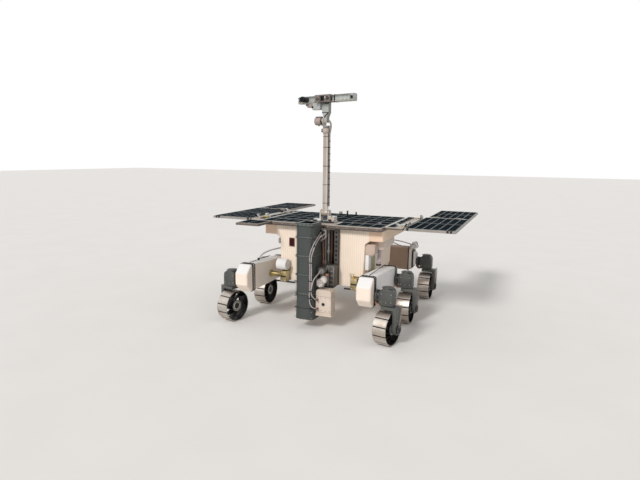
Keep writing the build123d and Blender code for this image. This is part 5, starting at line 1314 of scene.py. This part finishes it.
# ---- deck and wings ----
SHEET_TOP = 0.900
STRIP_FOOT = 0.8995
CELL_EDGE = 0.0022
CELL_RIM_TOP = 0.903
WING_OUTER = 1.175
WING_ROWS = (("front", (-0.540, 0.315), 0.752), ("rear", (0.339, 1.051), 0.774))
WING_HINGE_PLACES = (0.85, 1.05)


def make_deck():
    """Deck edges, joint strips, clamps and small fittings."""
    dress(node_mesh("deck_panel"), "panel_edge", ("edge_brown", lambda c, n: abs(n.z) < 0.5),
          ("under_grey", lambda c, n: n.z < -0.5))
    hardware("deck_lips", "panel_edge", [block(-0.580, 0.580, -0.6312, -0.6285, 0.8935, SHEET_TOP, 0.0008),
                                         *both(0.7335, 0.736, -0.540, 0.260, 0.893, SHEET_TOP, 0.0008),
                                         *both(0.5795, 0.735, -0.5412, -0.5385, 0.8935, SHEET_TOP, 0.0008)])
    hardware("deck_rails", "dark_metal", [block(-0.576, 0.576, -0.6315, -0.6295, 0.868, 0.872, 0.0006)])
    eased("deck_fittings", 0.001, 2, "plate_grey",
          ("tab_white", lambda c, n: c.x < -0.680 and c.y < -0.1 or c.x > 0.65 and c.y < -0.28),
          ("dark_metal", lambda c, n: abs(c.x) > 0.715 and n.z < 0.5 or 0.01 < c.x < 0.08),
          ("gold_metal", lambda c, n: abs(c.x) > 0.675 or c.x < -0.58 and c.y < -0.4))
    hardware("strip_rails", "tab_white", both(0.588, 0.600, -0.520, 0.240, STRIP_FOOT, 0.903)
             + both(0.722, 0.732, -0.180, 0.210, STRIP_FOOT, 0.902)
             + both(0.640, 0.676, -0.380, -0.330, STRIP_FOOT, 0.9045))
    hardware("strip_clamps", "dark_metal", [
        clamp for x0, x1, half, top, ys in ((0.602, 0.618, 0.012, 0.9055, (-0.40, -0.05)),
                                            (0.655, 0.668, 0.020, 0.905, (-0.475, 0.02, 0.150)))
        for y in ys for clamp in both(x0, x1, y - half, y + half, STRIP_FOOT, top)])
    hardware("strip_pads", "pale_gold", both(0.682, 0.706, -0.455, -0.425, STRIP_FOOT, 0.906)
             + both(0.700, 0.716, 0.200, 0.232, STRIP_FOOT, 0.906))
    spots = grid((0.590, 0.728, -0.590, -0.728), [-0.52 + 0.075 * k for k in range(10)], SHEET_TOP, Z)
    spots += grid([-0.54 + 0.108 * k for k in range(11)], -0.624, SHEET_TOP, Z)
    spots += grid([-0.54 + 0.090 * k for k in range(13)], -0.6312, 0.883, -Y)
    fasteners("deck_screws", spots, "panel_edge", 0.0026, 0.0016, 8)
    cell_frames("deck_cells", "rover_body")
    eased("wing_hinges", 0.001, 2, "tab_white", ("dark_metal", lambda c, n: abs(n.y) > 0.9))


def cell_frames(node, body):
    """Thin pale edge strips around every solar cell of a panel."""
    bm = bmesh.new()
    bm.from_mesh(node_mesh(node))
    bmesh.ops.remove_doubles(bm, verts=bm.verts, dist=1e-6)
    bars, left = [], set(bm.verts)
    while left:
        island, edge = set(), {left.pop()}
        while edge:
            vert = edge.pop()
            island.add(vert)
            edge |= {e.other_vert(vert) for e in vert.link_edges} - island
        left -= island
        x0, x1 = min(v.co.x for v in island), max(v.co.x for v in island)
        y0, y1 = min(v.co.y for v in island), max(v.co.y for v in island)
        a, b = y0 - CELL_EDGE, y1 + CELL_EDGE
        bars += [block(*plan, STRIP_FOOT, CELL_RIM_TOP, 0.0) for plan in (
            (x0 - CELL_EDGE, x0, a, b), (x1, x1 + CELL_EDGE, a, b), (x0, x1, a, y0), (x0, x1, y1, b))]
    bm.free()
    hardware(f"{node}_edges", "cell_rim", bars, body)


def make_wings():
    """Wing rims, joint strips, corner clamps and the ribs below, on each wing panel's body."""
    for (hand, side), (row, (y0, y1), inner) in product(SIDES, WING_ROWS):
        node = f"wing_{hand}_{row}"
        inner, outer = side * inner, side * WING_OUTER
        dress(node_mesh(node), "wing_edge", ("under_grey", lambda c, n: n.z < -0.5))
        cell_frames(f"{node}_cells", node)
        hardware(f"{node}_ribs", "edge_brown", [
            block(inner + side * (0.03 + 0.09 * k), inner + side * (0.036 + 0.09 * k), y0 + 0.02, y1 - 0.02,
                  0.877, 0.8802, 0.0008) for k in range(5)], node)
        joint_y, strip = (y1, (y1 - 0.009, y1 - 0.001)) if row == "front" else (y0, (y0 + 0.001, y0 + 0.009))
        hardware(f"{node}_strips", "tab_teal", [
            block(inner + side * 0.012, inner + side * 0.130, *strip, STRIP_FOOT, 0.9028, 0.0008),
            block(outer - side * 0.115, outer - side * 0.040, *strip, STRIP_FOOT, 0.9028, 0.0008)], node)
        if row == "front":
            hardware(f"{node}_clamps", "dark_metal", [
                block(x0, x1, y0 - 0.005, y0 + 0.008, 0.884, top, 0.0008) for x0, x1, top in (
                    (outer - side * 0.046, outer - side * 0.030, 0.905),
                    (outer - side * 0.074, outer - side * 0.058, 0.905),
                    (inner + side * 0.016, inner + side * 0.034, 0.904))], node)
        step = (outer - inner - side * 0.024) / 6
        spots = grid([inner + side * 0.012 + step * k for k in range(7)], (y0 + 0.006, y1 - 0.006),
                     SHEET_TOP, Z)
        hinges = [Vector((side * x, joint_y, SHEET_TOP)) for x in WING_HINGE_PLACES]
        spots = [spot for spot in spots if all((spot[0] - hinge).length > 0.02 for hinge in hinges)]
        fasteners(f"{node}_screws", spots, "bright_metal", 0.0024, 0.0012, 8, node)


# ---- mast ----
MAST_Y = -0.470
MAST_HINGE_Z = 0.985


def make_mast():
    """Mast foot, tube straps, collar, cable harness and the loop over to the head."""
    eased("mast_base", 0.0015, 2, "tab_white",
          ("dark_metal", lambda c, n: c.z < 0.9145),
          ("mast_paint", lambda c, n: abs(c.x) < 0.066 and c.z > 0.948),
          ("dark_metal", lambda c, n: n.y < -0.5 and c.z < 0.940))
    spots = grid((-0.092, -0.050, 0.0, 0.050, 0.092), (-0.517, -0.423), 0.914, Z)
    spots += grid(0.105, (-0.50, -0.47, -0.44), 0.907, X) + grid(-0.105, (-0.50, -0.47, -0.44), 0.907, -X)
    fasteners("mast_foot_bolts", spots, "bright_metal", 0.004, 0.004)
    spots = grid(0.105, (-0.50, -0.44), (0.925, 0.947), X) + grid(0.075, (-0.50, -0.44), 0.958, Z)
    fasteners("mast_block_bolts", spots, "dark_metal", 0.004, 0.003)
    hardware("mast_foot_plates", "dark_metal", [block(0.050, 0.082, -0.5255, -0.523, 0.918, 0.934),
                                                block(-0.098, -0.060, -0.5255, -0.523, 0.914, 0.926)])
    eased("mast_tube", 0.001, 2, "mast_paint",
          ("harness", lambda c, n: c.x > 0.0272 and 1.046 < c.z < 1.691 and abs(c.y - MAST_Y) < 0.0085),
          # Faces of the tube turned to +X: a painted highlight stripe.
          ("pale_mast", lambda c, n: n.x > 0.35 and n.y < 0.35 and 1.02 < c.z < 1.690))
    hardware("mast_bands", "dark_metal",
             [sleeve((0, MAST_Y, z), Z, 0.0268, 0.0284, -0.0022, 0.0022, 0.0006, 48)
              for z in (1.075, 1.240, 1.405, 1.570, 1.665)], "mast")
    hardware("harness_seam", "dark_metal",
             [block(0.0235, 0.0275, MAST_Y - 0.0135, MAST_Y - 0.0085, 1.050, 1.688)], "mast")
    hardware("harness_clips", "dark_metal", [
        block(0.024, 0.0385, MAST_Y - 0.0095, MAST_Y + 0.0095, z - 0.004, z + 0.004)
        for z in [1.075 + 0.055 * k for k in range(11)]], "mast")
    hardware("collar_rings", "plate_grey",
             [sleeve((0, MAST_Y, z), Z, 0.0335, 0.0352, -0.0025, 0.0025, 0.0008, 48)
              for z in (1.699, 1.737)], "mast")
    hardware("collar_lugs", "dark_metal", [
        block(-0.044, -0.031, MAST_Y - 0.012, MAST_Y + 0.012, 1.703, 1.732, 0.002),
        block(0.030, 0.041, MAST_Y - 0.014, MAST_Y + 0.010, 1.700, 1.722, 0.002)], "mast")
    around = [Vector((cos(a), sin(a), 0)) for a in [radians(15 + 30 * k) for k in range(12)]]
    fasteners("collar_screws", [(Vector((0, MAST_Y, 1.718)) + out * 0.034, out) for out in around],
              "bright_metal", 0.0026, body="mast")
    hardware("mast_hinge_caps", "bright_metal", [
        drum((s * 0.0445, MAST_Y, MAST_HINGE_Z), X * s, 0.013, 0.0, 0.005, 0.0012, 24) for s in (1, -1)])
    loop = [(0.033, -0.478, 1.684), (0.046, -0.484, 1.722), (0.052, -0.488, 1.762), (0.044, -0.488, 1.788),
            (0.026, -0.480, 1.806), (0.018, -0.476, 1.803)]
    strands = [[(x + 0.0046 * k, y - 0.0046 * k, z) for x, y, z in loop] for k in (-1, 0, 1)]
    obj = cables("head_loop", strands, "loop_cable", 0.0054, body=None)
    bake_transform(obj)


# ---- camera head, in its own frame: x to its left, -y ahead of it ----
HEAD_TURN = radians(-14)
HEAD = Matrix.Translation((0, MAST_Y, 0)) @ Matrix.Rotation(HEAD_TURN, 4, "Z")
LENS_Z = 1.987
END_LENS_X = 0.280
LONG_LENS = (-0.205, -0.0925, LENS_Z)
STRAP_STEPS = 6


def on_head(name, finish, bms, body="camera_head"):
    """Forms made in the head's own frame, as one piece on the head."""
    return hardware(name, finish, moved(bms, HEAD), body)


def strap_run(start, rise, *form):
    """Overlapping blocks from a place along a rise, which make one slanting strap."""
    places = [Vector(start) + Vector(rise) * k / STRAP_STEPS for k in range(STRAP_STEPS + 1)]
    return [bm for place in places for bm in moved([block(*form)], Matrix.Translation(place))]


def own(centre):
    """A place in the head's own frame."""
    return Matrix.Rotation(-HEAD_TURN, 3, "Z") @ (centre - Y * MAST_Y)


def make_head():
    """Pan and tilt unit, camera bench and cameras with their lenses, straps, panels and screws."""
    eased("pan_head", 0.0015, 2, "mast_paint", ("pink_paint", lambda c, n: own(c).x < -0.046),
          ("plate_grey", lambda c, n: c.z < 1.752))
    eased("camera_bench", 0.0018, 2, "head_paint",
          ("dark_metal", lambda c, n: abs(abs(own(c).x) - END_LENS_X) < 0.0115
           and -0.0305 < own(c).y < -0.010 and 1.974 < c.z < 2.0),
          ("head_top", lambda c, n: n.z > 0.6 and c.z > 1.990),
          ("head_warm", lambda c, n: n.z < -0.6 and c.z > 1.955),
          ("head_side", lambda c, n: c.z < 1.960 and n.x > 0.5))
    eased("cameras", 0.0012, 2, "dark_metal",
          ("box_cool", lambda c, n: c.z < 1.962 and own(c).x > -0.1500),
          ("pink_paint", lambda c, n: c.z < 1.960),
          ("frame_brown", lambda c, n: own(c).x > -0.150))
    on_head("head_glass", "lens_glass", [
        *[drum((u, -0.025, LENS_Z), -Y, 0.0098, -0.002, 0.0004, 0.0003) for u in (-END_LENS_X, END_LENS_X)],
        drum(LONG_LENS, -Y, 0.0196, -0.002, 0.0008, 0.0005),
        block(-0.0265, 0.0105, -0.0525, -0.0492, 1.9685, 2.0055, 0.0005),
        drum((-0.178, -0.0605, 1.939), -Y, 0.0085, -0.002, 0.0008, 0.0005, 24)])
    on_head("head_bezels", "dark_metal", [
        *[sleeve((u, -0.031, LENS_Z), -Y, 0.010, 0.015, 0.0, 0.003) for u in (-END_LENS_X, END_LENS_X)],
        sleeve(LONG_LENS, -Y, 0.0195, 0.025, 0.0, 0.0026, 0.001, 40),
        *[sleeve((-0.205, y, LENS_Z), -Y, 0.0246, 0.0262, -0.003, 0.003, 0.0006, 40)
          for y in (-0.050, -0.075)]])
    on_head("head_window_frame", "dark_metal",
            window_bars(-0.030, 0.014, 1.965, 2.009, 0.0035, -0.0675, -0.0645, 0.0006))
    on_head("head_top_line", "head_top", [block(-0.303, 0.262, -0.032, -0.030, 2.0055, 2.0103, 0.0008)])
    on_head("head_studs", "bright_metal",
            [drum((0.029, -0.065, 1.994), -Y, 0.0065, -0.001, 0.004, 0.001, 20)])
    on_head("motor_plug", "pale_gold", [drum((-0.085, 0, 1.760), -Z, 0.010, -0.004, 0.004, 0.002, 20)],
            "pan_head")
    on_head("motor_lid", "dark_metal", [block(-0.110, -0.044, -0.020, 0.020, 1.8345, 1.8385)], "pan_head")
    on_head("head_lower_edge", "head_warm", [block(-0.303, 0.303, -0.0318, -0.030, 1.9635, 1.967, 0.0006)])
    on_head("head_panels", "dark_metal", [
        block(0.052, 0.079, -0.0335, -0.0305, 1.9665, 2.0075),
        block(-0.1215, -0.1015, -0.062, -0.059, 1.9075, 1.9265),
        block(-0.045, 0.062, -0.060, -0.020, 1.948, 1.956, 0.002),
        sleeve((0.053, -0.065, 1.990), -Y, 0.007, 0.0125, -0.001, 0.0035, 0.001, 24),
        sleeve((-0.055, -0.065, 1.985), -Y, 0.006, 0.0115, -0.001, 0.003, 0.001, 24)])
    axis = Vector((cos(HEAD_TURN), sin(HEAD_TURN), 0))
    hardware("head_straps", "black_lace", [
        strap(section_of("camera_bench", Y * MAST_Y + axis * u, axis), axis, width, 0.0016)
        for u, width in ((0.100, 0.013), (-0.246, 0.005))], "camera_head")
    on_head("neck_straps", "black_lace", [
        *[block(-0.0355, 0.0355, -0.0212, -0.0195, z, z + 0.006, 0.0005) for z in (1.868, 1.940)],
        *strap_run((-0.008, 0, 1.832), (0.038, 0, 0.034), -0.0055, 0.0055, -0.0225, -0.0195,
                   -0.005, 0.005, 0.0006)])
    on_head("yoke_straps", "black_lace", strap_run(
        (-0.041, 0, 1.796), (0.015, 0, -0.026), -0.004, 0.004, -0.035, -0.031, -0.0055, 0.0055, 0.0006),
            "pan_head")
    spots = grid((-0.298, -0.262, 0.262, 0.298), -0.031, (1.970, 2.004), -Y)
    spots += grid((0.190, 0.228), -0.031, (1.972, 2.002), -Y)
    spots += grid((-0.084, -0.050, 0.034, 0.068), -0.065, (1.962, 2.012), -Y)
    spots += grid((-0.27, -0.18, -0.09, 0.0, 0.09, 0.18, 0.27), 0.031, (1.970, 2.004), Y)
    spots += grid((-0.27, -0.21, 0.13, 0.20, 0.27), (-0.020, 0.020), 2.010, Z)
    fasteners("head_screws", shifted(spots, HEAD), "plate_grey", 0.0024, 0.0014, 8, "camera_head")
    on_head("head_rear_plates", "plate_grey", [block(-0.060, 0.060, 0.030, 0.0335, 1.972, 2.002, 0.0015),
                                               block(0.110, 0.160, 0.030, 0.0345, 1.974, 2.000, 0.0015)])


# ---- floor, light and camera ----
def make_stage():
    """Plain pale floor, white surroundings, a soft key lamp and the photograph's camera."""
    scene = bpy.context.scene
    bm = bmesh.new()
    bmesh.ops.create_grid(bm, x_segments=1, y_segments=1, size=FLOOR_HALF)
    floor = bpy.data.objects.new("floor", mesh_of(bm, "floor"))
    pale = Finish("floor_pale", (0.80, 0.79, 0.78), 0.9)
    pale.shade(Base_Color=pale.mix(pale.span(pale.noise(2.0, 2.0), 0.3, 0.7), (0.80, 0.79, 0.78),
                                   (0.82, 0.81, 0.80)))
    floor.data.materials.append(pale.mat)

    scene.world = bpy.data.worlds.new("surroundings")
    scene.world.use_nodes = True
    sky = Nodes(scene.world.node_tree)
    lit = sky.tree.nodes["Background"]
    sky.feed(lit.inputs["Color"], (1, 0.985, 0.965, 1))
    sky.feed(lit.inputs["Strength"], SKY_STRENGTH)
    ray = sky.add("ShaderNodeLightPath").outputs
    seen = sky.maths("MAXIMUM", ray["Is Camera Ray"], ray["Is Glossy Ray"])
    seen = sky.maths("MAXIMUM", seen, ray["Is Transmission Ray"])
    white = sky.out("ShaderNodeBackground", {"Color": (1, 1, 1, 1)})
    blend = sky.out("ShaderNodeMixShader", {0: seen, 1: lit.outputs[0], 2: white})
    sky.feed(sky.tree.nodes["World Output"].inputs["Surface"], blend)

    lamp = bpy.data.lights.new("key", "SUN")
    lamp.energy = SUN_STRENGTH
    lamp.angle = SUN_SOFTNESS
    lamp.color = (1.0, 0.975, 0.94)
    key = bpy.data.objects.new("key", lamp)
    key.rotation_euler = SUN_FROM.to_track_quat("Z", "Y").to_euler()

    lens = bpy.data.cameras.new("camera")
    lens.lens = CAMERA_LENS_MM
    lens.sensor_width = CAMERA_SENSOR_MM
    camera = bpy.data.objects.new("camera", lens)
    level = Vector((-sin(CAMERA_YAW), cos(CAMERA_YAW), 0))
    sideways = Vector((cos(CAMERA_YAW), sin(CAMERA_YAW), 0))
    look = level * cos(CAMERA_PITCH) - Z * sin(CAMERA_PITCH)
    rise = level * sin(CAMERA_PITCH) + Z * cos(CAMERA_PITCH)
    x_axis = sideways * cos(CAMERA_ROLL) + rise * sin(CAMERA_ROLL)
    y_axis = rise * cos(CAMERA_ROLL) - sideways * sin(CAMERA_ROLL)
    turn = Matrix((x_axis, y_axis, -look)).transposed().to_4x4()
    camera.matrix_world = Matrix.Translation(CAMERA_PLACE) @ turn
    for obj in (floor, key, camera):
        scene.collection.objects.link(obj)
    scene.camera = camera
    scene.view_settings.view_transform = "Standard"


for make in (make_stage, make_wheels, make_body_blankets, make_soft_boxes, make_units, make_beams,
             make_pivots, make_body, make_bay, make_equipment, make_drill, make_drill_side, make_deck,
             make_wings, make_mast, make_head):
    make()
